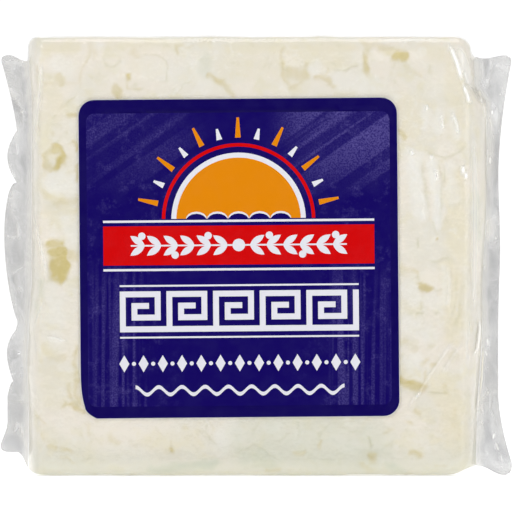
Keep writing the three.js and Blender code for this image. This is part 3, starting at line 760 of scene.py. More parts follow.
def half_section(section, rows):
    """Half of a section, from the middle of its bottom edge to the middle of its top edge.

    Its rows are the distance out from the middle plane, the height, how far it faces out and up,
    and the height that the point has in the whole block.
    """
    low, high, half = section["low"], section["high"], section["half"]
    radius = min(EDGE_RADIUS, 0.6 * half)
    flat = half - radius
    across = flat * np.arange(FLAT_STEPS) / FLAT_STEPS
    turn = np.pi / 2 * np.arange(ARC_STEPS) / ARC_STEPS
    sine, cosine = np.sin(turn), np.cos(turn)
    out, rise, whole_rise = flat + radius * sine, radius * (1 - cosine), EDGE_RADIUS * (1 - cosine)
    top = BLOCK_HEIGHT - EDGE_RADIUS
    lift = (low + radius - EDGE_RADIUS) * np.maximum(0, 1 - (rows - EDGE_RADIUS) / END_BLEND)
    fall = (high - radius - top) * np.maximum(0, 1 - (top - rows) / END_BLEND)
    floor = np.stack(np.broadcast_arrays(across, low, 0, -1, 0))
    lower = np.stack([out, low + rise, sine, -cosine, whole_rise])
    side = np.stack(np.broadcast_arrays(half, rows + lift + fall, 1, 0, rows))
    upper = np.stack([out, high - rise, sine, cosine, BLOCK_HEIGHT - whole_rise])
    roof = np.stack(np.broadcast_arrays(across, high, 0, 1, BLOCK_HEIGHT))
    return np.concatenate([floor, lower, side, upper[:, ::-1], roof[:, ::-1]], axis=1)


def sweep(sections, spacing):
    """The skin over the sections as a grid of points, with what else is known at each point."""
    front_rows, back_rows = side_rows(spacing["front"]), side_rows(spacing["back"])
    grid = {name: [] for name in ("points", "side", "face_out", "seal", "past_end")}
    for section in sections:
        front = half_section(section, front_rows)
        back = half_section(section, back_rows)[:, 1:-1][:, ::-1]
        out, height, face_out, face_up, row = np.concatenate([front, back], axis=1)
        side = np.repeat([-1, 1], [front.shape[1], back.shape[1]])
        x = section["x"](row)
        relief = np.where(side < 0, front_relief(x, height), swell(x, height, 2))
        inwards = section["relief"] * relief * face_out**2
        down = section["sink"] * swell(x, side * out, 3) * np.maximum(0, face_up)
        y = MIDDLE_Y + section["bow"](row) + side * (out - inwards)
        grid["points"].append(np.stack([x, y, height - down], axis=1))
        grid["side"].append(side)
        grid["face_out"].append(face_out)
        grid["seal"].append(np.full_like(row, section["seal"]))
        grid["past_end"].append(np.maximum(left_edge(row) - x, x - right_edge(row)))
    return {name: np.array(rows) for name, rows in grid.items()}


def grid_normals(points):
    """Outward normals of a skin whose sections are closed loops."""
    along = np.gradient(points, axis=0)
    round_it = np.roll(points, -1, axis=1) - np.roll(points, 1, axis=1)
    normals = np.cross(along, round_it)
    lengths = np.linalg.norm(normals, axis=2, keepdims=True)
    return normals / np.maximum(lengths, 1e-9)


def from_photo(path):
    """Places on the front, in millimetres, of a path in the photograph's pixels."""
    across, down = np.array(path, dtype=float).T
    return np.stack([(across - MIDDLE_PIXEL) * PIXEL, (FLOOR_PIXEL - down) * PIXEL], axis=1)


def along_path(x, z, path):
    """Distance from each point to a path, and how far along the path it lies, as a share."""
    steps = np.linalg.norm(np.diff(path, axis=0), axis=1)
    starts = np.concatenate([[0], np.cumsum(steps)])
    nearest = np.full(x.shape, np.inf)
    place = np.zeros(x.shape)
    for start, end, length, gone in zip(path, path[1:], steps, starts):
        way = (end - start) / length
        along = np.clip((x - start[0]) * way[0] + (z - start[1]) * way[1], 0, length)
        gap = np.hypot(x - start[0] - along * way[0], z - start[1] - along * way[1])
        closer = gap < nearest
        nearest = np.where(closer, gap, nearest)
        place = np.where(closer, (gone + along) / starts[-1], place)
    return nearest, place


def ridge(x, z, path, half_width):
    """1 along the middle of a path, fading to its sides and its ends."""
    gap, place = along_path(x, z, path)
    return np.exp(-((gap / half_width) ** 2)) * inside(place, -0.02, 1.02, 0.3)


def wander(x, z, cell, distance, layer):
    """Coordinates pushed about by noise, so that what is drawn with them has uneven outlines."""
    moved_x = x + distance * (2 * noise(x, z, cell, layer) - 1)
    moved_z = z + distance * (2 * noise(x, z, cell, layer + 1) - 1)
    return moved_x, moved_z


def marked(marks, x, z):
    """A field of soft-edged marks, each given by its half width in pixels, strength and path."""
    x, z = wander(x, z, 1.5, 0.5, 41)
    x, z = wander(x, z, 0.6, 0.12, 43)
    field = np.zeros(x.shape)
    for half_width, strength, path in marks:
        gap, _ = along_path(x, z, from_photo(path))
        softness = 1.6 + 0.35 * half_width
        far = gap / PIXEL - half_width
        field = np.maximum(field, strength * (1 - smooth(-softness, softness, far)))
    return field * (0.8 + 0.4 * noise(x, z, 0.9, 45))


def lines(marks, x, z):
    """A field of thin lines, each given by its half width in pixels, strength and path."""
    field = np.zeros(x.shape)
    for half_width, strength, path in marks:
        field = np.maximum(field, strength * ridge(x, z, from_photo(path), half_width * PIXEL))
    return field


def hidden_marks(points, strength, cell, least, layer):
    """A field of marks strewn all over the block, like those on the front."""
    broad = noise_in_space(points, cell, layer)
    fine = noise_in_space(points, 0.35 * cell, layer + 3)
    return strength * smooth(least, least + 0.12, 0.7 * broad + 0.3 * fine)


def cells(points, size, layer):
    """A random value for each point's cell, soft at its rim, and the distance from the rim."""
    home = np.floor(points / size)
    nearest = np.full(points.shape[:-1], np.inf)
    second = nearest.copy()
    value, other = np.zeros(nearest.shape), np.zeros(nearest.shape)
    for i, j, k in itertools.product((-1, 0, 1), repeat=3):
        corner = home + (i, j, k)
        key = corner[..., 0] + 5.3 * corner[..., 1]
        jitter = [lattice(key, corner[..., 2], layer + 7 * axis) for axis in range(3)]
        gap = np.linalg.norm((corner + np.stack(jitter, -1)) * size - points, axis=-1)
        own = lattice(key, corner[..., 2], layer + 30)
        first = gap < nearest
        other = np.where(first, value, np.where(gap < second, own, other))
        second = np.where(first, nearest, np.minimum(second, gap))
        value = np.where(first, own, value)
        nearest = np.minimum(nearest, gap)
    rim = second - nearest
    return lerp(value, other, 0.5 * np.exp(-6 * rim / size)), rim


def curd_seams(points):
    """Thin seams between curds all over the block, 1 in the middle of a seam."""
    _, rim = cells(points, 7.5, 61)
    open_here = smooth(0.55, 0.85, noise_in_space(points, 9.0, 71))
    return np.exp(-((rim / 0.5) ** 2)) * open_here


def mesh_object(name, points, faces, materials):
    """A smooth-shaded mesh from points in millimetres."""
    mesh = bpy.data.meshes.new(name)
    mesh.from_pydata((np.asarray(points) * MM).tolist(), [], faces)
    mesh.validate()
    mesh.shade_smooth()
    for material in materials:
        mesh.materials.append(material)
    made = bpy.data.objects.new(name, mesh)
    bpy.context.collection.objects.link(made)
    return made


def skin_faces(grid):
    """Faces of a skin over closed sections, with one flat face for all that the label hides."""
    points = grid["points"]
    stations, round_it = points.shape[:2]
    start = np.arange(stations - 1)[:, None] * round_it
    i = np.arange(round_it)[None, :]
    after = (i + 1) % round_it
    quads = np.stack([start + i, start + i + round_it, start + after + round_it, start + after], -1)
    hidden = (np.abs(points - LABEL_MIDDLE) < LABEL_SIDE / 2 - HIDDEN_MARGIN)[..., [0, 2]].all(-1)
    hidden &= (grid["side"] < 0) & (grid["face_out"] == 1)
    first, last = np.flatnonzero(hidden.any(axis=1))[[0, -1]]
    low, high = np.flatnonzero(hidden.any(axis=0))[[0, -1]]
    shown = np.ones(quads.shape[:2], dtype=bool)
    shown[first:last, low:high] = False
    edge = [s * round_it + low for s in range(first, last)]
    edge += [last * round_it + k for k in range(low, high)]
    edge += [s * round_it + high for s in range(last, first, -1)]
    edge += [first * round_it + k for k in range(high, low, -1)]
    return quads[shown].tolist() + [[int(corner) for corner in edge]]


def end_faces(grid, station, flip):
    """Closes a narrow end across from each point of its front to a point of its back."""
    round_it = grid["points"].shape[1]
    front = int((grid["side"][station] < 0).sum())
    ahead = list(range(front))
    behind = [0, *range(round_it - 1, front - 1, -1), front - 1]
    heights = grid["points"][station, :, 2]
    faces = []
    a = b = 0
    while a < len(ahead) - 1 or b < len(behind) - 1:
        a_next = heights[ahead[a + 1]] if a < len(ahead) - 1 else np.inf
        b_next = heights[behind[b + 1]] if b < len(behind) - 1 else np.inf
        if a_next <= b_next:
            face = [ahead[a], ahead[a + 1], behind[b]]
            a += 1
        else:
            face = [ahead[a], behind[b + 1], behind[b]]
            b += 1
        if len(set(face)) == 3:
            faces.append([station * round_it + corner for corner in (face[::-1] if flip else face)])
    return faces


def skin_object(name, grid, material, fields):
    """A piece from a skin. Its fields hold one number for each vertex, for the material to read."""
    stations = len(grid["points"])
    faces = skin_faces(grid)
    faces += end_faces(grid, 0, False)
    faces += end_faces(grid, stations - 1, True)
    made = mesh_object(name, grid["points"].reshape(-1, 3), faces, [material])
    for field_name, values in fields.items():
        field = made.data.attributes.new(field_name, "FLOAT", "POINT")
        field.data.foreach_set("value", np.ascontiguousarray(values, dtype=np.float32).ravel())
    return made


def on_the_front(grid, field):
    """A field of the front, worked out only where the grid's points face that way."""
    points = grid["points"]
    front = (grid["side"] < 0) & (grid["face_out"] > 0.2)
    values = np.zeros(front.shape)
    values[front] = field(points[..., 0][front], points[..., 2][front])
    return values * grid["face_out"]


def make_curd(material):
    """The block of cheese, just inside the film."""
    grid = sweep(block_sections(CURD_SPACING), CURD_ROWS)
    points = grid["points"]
    front = np.where(grid["side"] < 0, grid["face_out"], 0)
    fields = {
        name: on_the_front(grid, lambda x, z: marked(marks, x, z))
        for name, marks in FRONT_MARKS.items()
    }
    for name, kind in HIDDEN_MARKS.items():
        fields[name] = np.maximum(fields[name], (1 - front) * hidden_marks(points, **kind))
    line = on_the_front(grid, lambda x, z: lines(CURD_LINES, *wander(x, z, 1.2, 0.25, 51)))
    seam = lerp(0.4, 0.12, front) * curd_seams(points)
    lumps = 0.14 * noise_in_space(points, 3.3, 81) + 0.06 * noise_in_space(points, 1.4, 82)
    hidden = on_the_front(grid, under_label)
    relief = (PIT_DEPTH * (fields["whey_and_shadow"] + line + seam) + lumps) * (1 - hidden)
    grid["points"] = points - grid_normals(points) * (CURD_INSET + relief)[..., None]
    fields["seam"] = np.maximum(line, seam)
    return skin_object("feta_curd", grid, material, fields)


def fin_tone(x, z):
    """How light the crinkled fins are, from 0 to 1: facets, placed patches and fine ridges."""
    x, z = wander(x, z, 2.5, 0.6, 95)
    crossed = np.stack([1.7 * x + 0.5 * z, np.zeros(x.shape), 0.8 * z - 0.4 * x], axis=-1)
    large, large_rim = cells(crossed, 5.0, 96)
    small, small_rim = cells(crossed, 2.2, 97)
    tone = 0.25 * large + 0.12 * small + 0.05 * noise(x, z, 0.7, 98)
    tone += 0.18 * np.exp(-((large_rim / 0.5) ** 2)) + 0.08 * np.exp(-((small_rim / 0.35) ** 2))
    for light, wide, tall, place in FIN_PATCHES:
        middle_x, middle_z = from_photo([place])[0]
        off = np.hypot((x - middle_x) / (wide * PIXEL), (z - middle_z) / (tall * PIXEL))
        tone += light * (1 - smooth(0.6, 1.3, off))
    for half_width, light, path in FIN_RIDGES:
        tone += light * ridge(x, z, from_photo(path), half_width * PIXEL)
    return tone


def film_fields(grid):
    """The film's relief, how cloudy, dim and creamy it is, and where it is painted white as
    highlight or as light over the curd's shaded sides, at each point.
    """
    x, z = grid["points"][..., 0], grid["points"][..., 2]
    heights = [(wide, tall, path) for wide, tall, _, path in FILM_RIDGES_AND_HIGHLIGHTS]
    # The ridges' whiteness is painted highlight, laid into the film's haze
    painted_highlights = [(wide, white, path) for wide, _, white, path in FILM_RIDGES_AND_HIGHLIGHTS]
    height, haze_and_highlight = (
        on_the_front(grid, lambda *place: lines(marks, *place)) for marks in (heights, painted_highlights)
    )
    seal, past_end = grid["seal"], grid["past_end"]
    in_fin = seal > 0
    tone, glint = np.zeros(x.shape), np.zeros(x.shape)
    tone[in_fin] = fin_tone(x[in_fin], z[in_fin])
    glint[in_fin] = lines(FIN_GLINTS, x[in_fin], z[in_fin])
    crinkle = np.where(seal == 1, 0.4 * (tone - 0.3), 0)
    reach = np.where(past_end > 0, 0.35 + 0.9 * noise(x, z, 2.6, 93), 1.1)
    cream = np.exp(-((past_end / reach) ** 2))
    # Near each end: painted light, a white haze over the block's side that lifts the curd's shaded
    # steep sides, and at the fin's root a real cream smear
    outer = smooth(6, 11, np.abs(grid["points"][..., 1]))
    inner = 0.25 * smooth(-2.6, -0.8, past_end) * np.where(x < 0, 0.1 + 0.9 * outer, 0.35)
    smear_and_painted_light = 0.15 * cream * np.where(past_end > 0, 1, 0.4 + 0.6 * outer)
    smear_and_painted_light += np.where(past_end > 0, 0, inner)
    shade = seal * np.clip(0.72 - 0.4 * tone, 0.25, 1) * (1 - 0.3 * cream)
    cloudy = seal * np.clip(0.12 + 0.25 * tone, 0, 1)
    front_glint = glint * (grid["side"] < 0)
    # Real haze of the seals, together with painted highlights: the ridges' whiteness, the glints and
    # the painted light near the ends
    haze_and_highlight = np.max([haze_and_highlight, cloudy, smear_and_painted_light, front_glint], axis=0)
    return height, crinkle, haze_and_highlight, shade, cream * (1 - front_glint)


def make_film(material):
    """The clear film, shrunk tight over the curd and sealed to itself at both ends."""
    grid = sweep(bag_sections(), FILM_ROWS)
    height, crinkle, haze_and_highlight, shade, cream = film_fields(grid)
    grid["points"] = grid["points"] + grid_normals(grid["points"]) * height[..., None]
    grid["points"][..., 1] += crinkle
    fields = {"haze_and_highlight": haze_and_highlight, "shade": shade, "cream": cream}
    return skin_object("clear_film", grid, material, fields)


# The label's design, in millimetres from its middle
LABEL_EDGE = 0.08
PANEL = {"left": -30.2, "right": 30.2, "bottom": -29.4, "top": 29.0, "corner": 1.6}
SUN = {"middle": 7.6, "radius": 12.4, "rim": 1.0, "ring": (14.6, 15.3)}
RAYS = {"near": 16.4, "far": 20.4, "short": 0.55, "half_turn": 0.035}
RAY_ANGLES = {"first": 12, "pitch": 13, "count": 13}
SEA = {"pitch": 4.2, "count": 5, "crest": 1.5, "line": 0.4, "sunk": 0.2}
BAND = {"half": 27.0, "bottom": -1.3, "top": 6.5, "line": 0.45, "gap": 0.7}
SPRIG = {"height": 2.6, "half": 21.5, "thick": 0.32, "knot": 1.25, "start": 2.2, "pitch": 3.3}
LEAF = {"length": 3.5, "width": 1.35, "tilt": 34}
OLIVE = {"radius": 0.75, "ahead": 0.6, "off": 1.9}
KEY = {"left": -23.8, "right": 23.8, "bottom": -14.6, "units": 5, "line": 0.35, "gap": 0.9}
GEMS = {"height": -20.9, "half": 23.0, "count": 13, "wide": 2.0, "tall": 3.4, "dot": 0.42}
WAVE = {"height": -26.3, "half": 20.8, "periods": 9, "swing": 0.75, "thick": 0.75}


def arc(middle, radius, start, end, steps):
    """Points round part of a circle, its angles in degrees."""
    turn = np.radians(np.linspace(start, end, steps + 1))
    return [(middle[0] + radius * np.cos(t), middle[1] + radius * np.sin(t)) for t in turn]


def box(left, right, bottom, top):
    return [(left, bottom), (right, bottom), (right, top), (left, top)]


def disc(middle, radius, steps):
    return arc(middle, radius, 0, 360, steps)[:-1]


def rounded_box(left, right, bottom, top, radius):
    steps = 5
    return [
        *arc((right - radius, bottom + radius), radius, -90, 0, steps),
        *arc((right - radius, top - radius), radius, 0, 90, steps),
        *arc((left + radius, top - radius), radius, 90, 180, steps),
        *arc((left + radius, bottom + radius), radius, 180, 270, steps),
    ]


def bend(start, pull, end, steps):
    """Points on a curve from start to end that is pulled towards a third point."""
    t = np.linspace(0, 1, steps + 1)[1:]
    weights = np.stack([(1 - t) ** 2, 2 * t * (1 - t), t**2], axis=1)
    return [tuple(point) for point in weights @ np.array([start, pull, end])]


def label_outline(inset):
    """The label's outline, moved in by a distance. Its lower left corner is tucked in a little."""
    half = LABEL_SIDE / 2 - inset
    r = LABEL_CORNER - inset
    low = LABEL_TUCK_HEIGHT / 4 - inset
    tuck = LABEL_TUCK - half
    tuck_start = (-half, -half + 4 * low)
    tuck_end = (tuck, -half + low)
    return [
        *arc((half - r, -half + r), r, -90, 0, 8),
        *arc((half - r, half - r), r, 0, 90, 8),
        *arc((-half + r, half - r), r, 90, 180, 8),
        tuck_start,
        *bend(tuck_start, (-half, -half + 2 * low), tuck_end, 6),
        *bend(tuck_end, (tuck, -half + low / 2), (tuck + low, -half), 6),
    ]


def dome(radius):
    """Half a disc standing on the sun's horizon."""
    return arc((0, SUN["middle"]), radius, 0, 180, 40)


def sun_rays(first):
    """Every other ray, each a slim wedge pointing out from the sun."""
    near, far, turn = RAYS["near"], RAYS["far"], RAYS["half_turn"]
    rays = []
    for k in range(first, RAY_ANGLES["count"], 2):
        angle = np.radians(RAY_ANGLES["first"] + RAY_ANGLES["pitch"] * k)
        tip = far if k % 2 == 0 else lerp(near, far, RAYS["short"])
        wedge = [(near, turn), (near, -turn), (tip, -turn / 3), (tip, turn / 3)]
        corners = [(r, angle + off) for r, off in wedge]
        rays.append([[(r * np.cos(a), SUN["middle"] + r * np.sin(a)) for r, a in corners]])
    return rays


def sea(lift):
    """Round waves along the foot of the sun, as one outline."""
    pitch, count = SEA["pitch"], SEA["count"]
    half = pitch * count / 2
    base = SUN["middle"] - SEA["sunk"]
    points = [(half, base), (-half, base)]
    for k in range(count):
        for t in np.linspace(0, np.pi, 9):
            across = pitch * (k + 0.5) - half - pitch / 2 * np.cos(t)
            points.append((across, base + SEA["crest"] * np.sin(t) + lift))
    return points


def leaf(root, angle, length, width):
    """A pointed leaf that starts at root."""
    t = np.linspace(0, 1, 8)
    bulge = width / 2 * np.sin(np.pi * t) ** 0.9
    edge = [*zip(t * length, bulge), *zip(t[-2:0:-1] * length, -bulge[-2:0:-1])]
    cos, sin = np.cos(np.radians(angle)), np.sin(np.radians(angle))
    return [(root[0] + u * cos - v * sin, root[1] + u * sin + v * cos) for u, v in edge]


def sprig():
    """An olive branch along the band, its leaves in pairs that point away from the middle."""
    level, half, thick = SPRIG["height"], SPRIG["half"], SPRIG["thick"] / 2
    shapes = [[box(-half, half, level - thick, level + thick)]]
    shapes.append([disc((0, level), SPRIG["knot"], 20)])
    for k, place in enumerate(np.arange(SPRIG["start"], half - 1, SPRIG["pitch"])):
        for side in (-1, 1):
            for tilt in (-LEAF["tilt"], LEAF["tilt"]):
                angle = tilt if side > 0 else 180 - tilt
                shapes.append([leaf((side * place, level), angle, LEAF["length"], LEAF["width"])])
            if k % 2:
                off = OLIVE["off"] if k % 4 == 1 else -OLIVE["off"]
                middle = (side * (place + OLIVE["ahead"]), level + off)
                shapes.append([disc(middle, OLIVE["radius"], 14)])
    return shapes


def key_border():
    """A running key pattern of square spirals on a base line, between two thin lines."""
    squares = 8 * KEY["units"] + 1
    stroke = (KEY["right"] - KEY["left"]) / squares
    hook = ((0, 1, 0, 7), (0, 7, 6, 7), (6, 7, 2, 7), (2, 7, 2, 3), (2, 3, 2, 5), (2, 5, 4, 5))
    bars = [(0, squares, 0, 1), (squares - 1, squares, 0, 7)]
    for unit in range(KEY["units"]):
        bars.extend((a + 8 * unit, b + 8 * unit, c, d) for a, b, c, d in hook)
    left, bottom = KEY["left"], KEY["bottom"]
    shapes = [
        [box(left + a * stroke, left + b * stroke, bottom + c * stroke, bottom + d * stroke)]
        for a, b, c, d in bars
    ]
    for level in (bottom - KEY["gap"] - KEY["line"], bottom + 7 * stroke + KEY["gap"]):
        shapes.append([box(left, KEY["right"], level, level + KEY["line"])])
    return shapes


def gem_row():
    """A row of upright diamonds with a dot between each two."""
    shapes = []
    level = GEMS["height"]
    places = np.linspace(-GEMS["half"], GEMS["half"], GEMS["count"])
    for place in places:
        wide, tall = GEMS["wide"] / 2, GEMS["tall"] / 2
        corners = [(wide, 0), (0, tall), (-wide, 0), (0, -tall)]
        shapes.append([[(place + u, level + v) for u, v in corners]])
    for place in (places[1:] + places[:-1]) / 2:
        shapes.append([disc((place, level), GEMS["dot"], 10)])
    return shapes


def wave_line():
    """A line that swings up and down like small waves."""
    u = np.linspace(-WAVE["half"], WAVE["half"], 16 * WAVE["periods"] + 1)
    swing = WAVE["swing"] * np.cos(2 * np.pi * WAVE["periods"] * (u / WAVE["half"] + 1) / 2)
    upper = [*zip(u, WAVE["height"] + swing + WAVE["thick"] / 2)]
    lower = [*zip(u, WAVE["height"] + swing - WAVE["thick"] / 2)]
    return [[lower + upper[::-1]]]


def label_fields():
    """Fields of ink in the order that they are printed, each with its shapes.

    A shape is a list of outlines, and an outline inside another one makes a hole.
    """
    panel = rounded_box(*(PANEL[name] for name in ("left", "right", "bottom", "top", "corner")))
    low, high = BAND["bottom"], BAND["top"]
    rules = [
        [box(-BAND["half"], BAND["half"], level, level + BAND["line"])]
        for level in (high + BAND["gap"], low - BAND["gap"] - BAND["line"])
    ]
    rim = SUN["radius"] + SUN["rim"]
    ring = [dome(SUN["ring"][1]), dome(SUN["ring"][0])]
    return [
        ("border_ink", [[label_outline(LABEL_EDGE)]]),
        ("panel_ink", [[panel]]),
        ("white_ink", [[dome(rim)]]),
        ("orange_ink", [[dome(SUN["radius"])], *sun_rays(0)]),
        ("white_ink", sun_rays(1)),
        ("red_ink", [ring]),
        ("white_ink", [[sea(SEA["line"])]]),
        ("panel_ink", [[sea(0)]]),
        ("panel_ink", [[box(-BAND["half"], BAND["half"], low, high + 2 * BAND["gap"])]]),
        ("white_ink", rules),
        ("red_ink", [[box(-BAND["half"], BAND["half"], low, high)]]),
        ("white_ink", sprig()),
        ("white_ink", key_border()),
        ("white_ink", gem_row()),
        ("white_ink", wave_line()),
    ]


def covers(shape, points):
    """True for each point inside a shape."""
    crossed = np.zeros(len(points), dtype=bool)
    u, v = points[:, 0], points[:, 1]
    for outline in shape:
        start = np.array(outline)
        end = np.roll(start, -1, axis=0)
        for (u0, v0), (u1, v1) in zip(start, end):
            spans = (v0 > v) != (v1 > v)
            if spans.any():
                crossing = u0 + (v - v0) * (u1 - u0) / (v1 - v0 if v1 != v0 else 1)
                crossed ^= spans & (u < crossing)
    return crossed


def cut_label(fields):
    """Cuts the label's face along every outline, and says which field each triangle shows."""
    outer = label_outline(0)
    outlines = [outer]
    for _, shapes in fields:
        for shape in shapes:
            outlines.extend(shape)
    corners, edges = [], []
    for outline in outlines:
        first = len(corners)
        corners.extend(outline)
        count = len(outline)
        edges.extend((first + i, first + (i + 1) % count) for i in range(count))
    steps = np.arange(-LABEL_SIDE / 2 + 1, LABEL_SIDE / 2, LABEL_SPACING)
    inner = np.array([(u, v) for u in steps for v in steps])
    corners.extend(inner[covers([label_outline(0.5)], inner)].tolist())
    cut = delaunay_2d_cdt([Vector(corner) for corner in corners], edges, [], 0, 1e-4)
    points = np.array([tuple(point) for point in cut[0]])
    triangles = np.array(cut[2])
    middles = points[triangles].mean(axis=1)
    shown = covers([outer], middles)
    triangles, middles = triangles[shown], middles[shown]
    showing = np.zeros(len(triangles), dtype=int)
    for number, (_, shapes) in enumerate(fields):
        for shape in shapes:
            showing[covers(shape, middles)] = number + 1
    return points, triangles, showing


def label_lift(u, v):
    """How far the label's face stands off flat: barely, in soft waves."""
    return 0.05 * noise(u, v, 14.0, 101) + 0.02 * noise(u, v, 5.0, 102)


def make_label(inks):
    """The label: a thin plate whose printed fields are areas of its own mesh."""
    fields = label_fields()
    points, triangles, showing = cut_label(fields)
    used, triangles = np.unique(triangles, return_inverse=True)
    triangles = triangles.reshape(-1, 3)
    points = points[used]
    u, v = points.T
    across = u * np.cos(LABEL_TURN) - v * np.sin(LABEL_TURN)
    up = u * np.sin(LABEL_TURN) + v * np.cos(LABEL_TURN)
    front = np.stack(
        [LABEL_MIDDLE[0] + across, label_low[1] - label_lift(u, v), LABEL_MIDDLE[2] + up], axis=1
    )
    back = front.copy()
    back[:, 1] = label_high[1]
    count = len(points)
    faces = triangles.tolist() + (triangles[:, ::-1] + count).tolist()
    sides = [(i, k) for a, b, c in triangles for i, k in ((a, b), (b, c), (c, a))]
    directed = set(sides)
    i, k = np.array([(i, k) for i, k in sides if (k, i) not in directed]).T
    faces += np.stack([k, i, i + count, k + count], axis=1).tolist()
    names = list(inks)
    made = mesh_object("front_label", np.concatenate([front, back]), faces, inks.values())
    paper = names.index("white_ink")
    indices = [paper if n == 0 else names.index(fields[n - 1][0]) for n in showing]
    indices += [paper] * (len(faces) - len(indices))
    made.data.polygons.foreach_set("material_index", indices)
    made.data.update()
    return made


def srgb(red, green, blue):
    """A colour from its 0 to 255 values."""
    share_of = [value / 255 for value in (red, green, blue)]
    linear = [c / 12.92 if c <= 0.04045 else ((c + 0.055) / 1.055) ** 2.4 for c in share_of]
    return (*linear, 1.0)


def new_material(name):
    material = bpy.data.materials.new(name)
    material.use_nodes = True
    material.node_tree.nodes.clear()
    return material


def add_node(material, kind, inputs=None, **settings):
    """A new node, its inputs set to numbers or linked to the sockets given."""
    node = material.node_tree.nodes.new(kind)
    for name, value in settings.items():
        setattr(node, name, value)
    for name, value in (inputs or {}).items():
        if isinstance(value, bpy.types.NodeSocket):
            material.node_tree.links.new(value, node.inputs[name])
        else:
            node.inputs[name].default_value = value
    return node


def mix_colours(material, factor, first, second):
    inputs = {0: factor, 6: first, 7: second}
    return add_node(material, "ShaderNodeMix", inputs, data_type="RGBA").outputs[2]


def maths(material, operation, *values):
    node = add_node(material, "ShaderNodeMath", dict(enumerate(values)), operation=operation)
    return node.outputs[0]


def weighted(material, weight, value, rest):
    """The weight times a value, plus the rest."""
    return maths(material, "MULTIPLY_ADD", value, weight, rest)


def remap(material, value, start, end, low=0.0, high=1.0):
    """A value moved from one span to another, smoothly and kept inside it."""
    inputs = {"Value": value, "From Min": start, "From Max": end, "To Min": low, "To Max": high}
    node = add_node(material, "ShaderNodeMapRange", inputs, interpolation_type="SMOOTHSTEP")
    return node.outputs["Result"]


def product(material, *factors):
    result = factors[0]
    for factor in factors[1:]:
        result = maths(material, "MULTIPLY", result, factor)
    return result


def place_in_mm(material, turn=0.0, stretch=(1.0, 1.0, 1.0)):
    """Places on the object in millimetres, turned about Y and stretched for streaked noise."""
    where = add_node(material, "ShaderNodeTexCoord").outputs["Object"]
    inputs = {
        "Vector": where,
        "Rotation": (0, np.radians(turn), 0),
        "Scale": tuple(s * MM for s in stretch),
    }
    return add_node(material, "ShaderNodeMapping", inputs, vector_type="TEXTURE").outputs["Vector"]


def noise_of(material, where, size, detail=2.0, roughness=0.5, distortion=0.0):
    inputs = {
        "Vector": where,
        "Scale": 1 / size,
        "Detail": detail,
        "Roughness": roughness,
        "Distortion": distortion,
    }
    return add_node(material, "ShaderNodeTexNoise", inputs).outputs["Fac"]


def field_of(material, name):
    return add_node(material, "ShaderNodeAttribute", attribute_name=name).outputs["Fac"]


def bumped(material, height, distance, strength=1.0, onto=None):
    inputs = {"Height": height, "Distance": distance * MM, "Strength": strength}
    if onto is not None:
        inputs["Normal"] = onto
    return add_node(material, "ShaderNodeBump", inputs).outputs["Normal"]


def principled(material, colour, roughness, specular, others):
    """An ordinary surface, with whatever other inputs it needs."""
    inputs = {"Base Color": colour, "Roughness": roughness, "Specular IOR Level": specular}
    return add_node(material, "ShaderNodeBsdfPrincipled", {**inputs, **others})


def mix_shaders(material, factor, first, second):
    inputs = {0: factor, 1: first.outputs[0], 2: second.outputs[0]}
    return add_node(material, "ShaderNodeMixShader", inputs)


def finish_material(material, shader):
    output = add_node(material, "ShaderNodeOutputMaterial")
    material.node_tree.links.new(shader.outputs[0], output.inputs["Surface"])
    return material


def curd_material():
    """Moist white curd with creamy patches, yellowish pockets and fine pores, with painted light and
    shade: a painted shadow beside the label, painted glints of the film, and a foot painted darker
    and greener as shade.
    """
    material = new_material("moist_curd")
    where = place_in_mm(material)
    height_above = add_node(material, "ShaderNodeSeparateXYZ", {0: where}).outputs["Z"]
    broad = noise_of(material, where, 9.0, 3.0, 0.55)
    blotch = noise_of(material, where, 4.5, 3.0, 0.55, 0.5)
    patch = noise_of(material, where, 2.4, 4.0, 0.6, 0.4)
    grain = noise_of(material, where, 0.55, 3.0, 0.6)
    # Painted shade: height above the floor, made uneven, darkens the curd's foot
    low = weighted(material, 9.0, blotch, height_above)
    whey_and_shadow = weighted(material, 0.2, patch, field_of(material, "whey_and_shadow"))
    colour = srgb(214, 208, 196)
    layers = (
        (remap(material, broad, 0.4, 0.6), srgb(210, 206, 194)),
        (remap(material, blotch, 0.5, 0.66, 0.0, 0.6), srgb(208, 202, 179)),
        (field_of(material, "cream"), srgb(210, 203, 180)),
        (remap(material, patch, 0.56, 0.72, 0.0, 0.6), srgb(216, 213, 204)),
        (remap(material, patch, 0.42, 0.28, 0.0, 0.5), srgb(199, 194, 172)),
        # White curd, and glints of the film painted in as highlights
        (field_of(material, "pale_and_glint"), srgb(216, 214, 207)),
        (field_of(material, "seam"), srgb(184, 180, 150)),
        (field_of(material, "wet"), srgb(186, 190, 172)),
        # Painted shade: the curd is made darker and greener towards its bottom
        (remap(material, low, 14.0, 5.0, 0.0, 0.5), srgb(194, 195, 179)),
        # Yellowish whey, and the painted shadow beside the label's left edge
        (remap(material, whey_and_shadow, 0.1, 1.1), srgb(188, 174, 118)),
        (remap(material, grain, 0.32, 0.2, 0.0, 0.35), srgb(184, 178, 148)),
    )
    for factor, tone in layers:
        colour = mix_colours(material, factor, colour, tone)
    relief = weighted(material, 0.7, patch, maths(material, "MULTIPLY", grain, 0.3))
    inner = {
        "Subsurface Weight": 0.25,
        "Subsurface Radius": (1.0, 0.85, 0.6),
        "Subsurface Scale": 1.2 * MM,
        "Normal": bumped(material, relief, 0.35, 0.6),
    }
    return finish_material(material, principled(material, colour, 0.55, 0.3, inner))


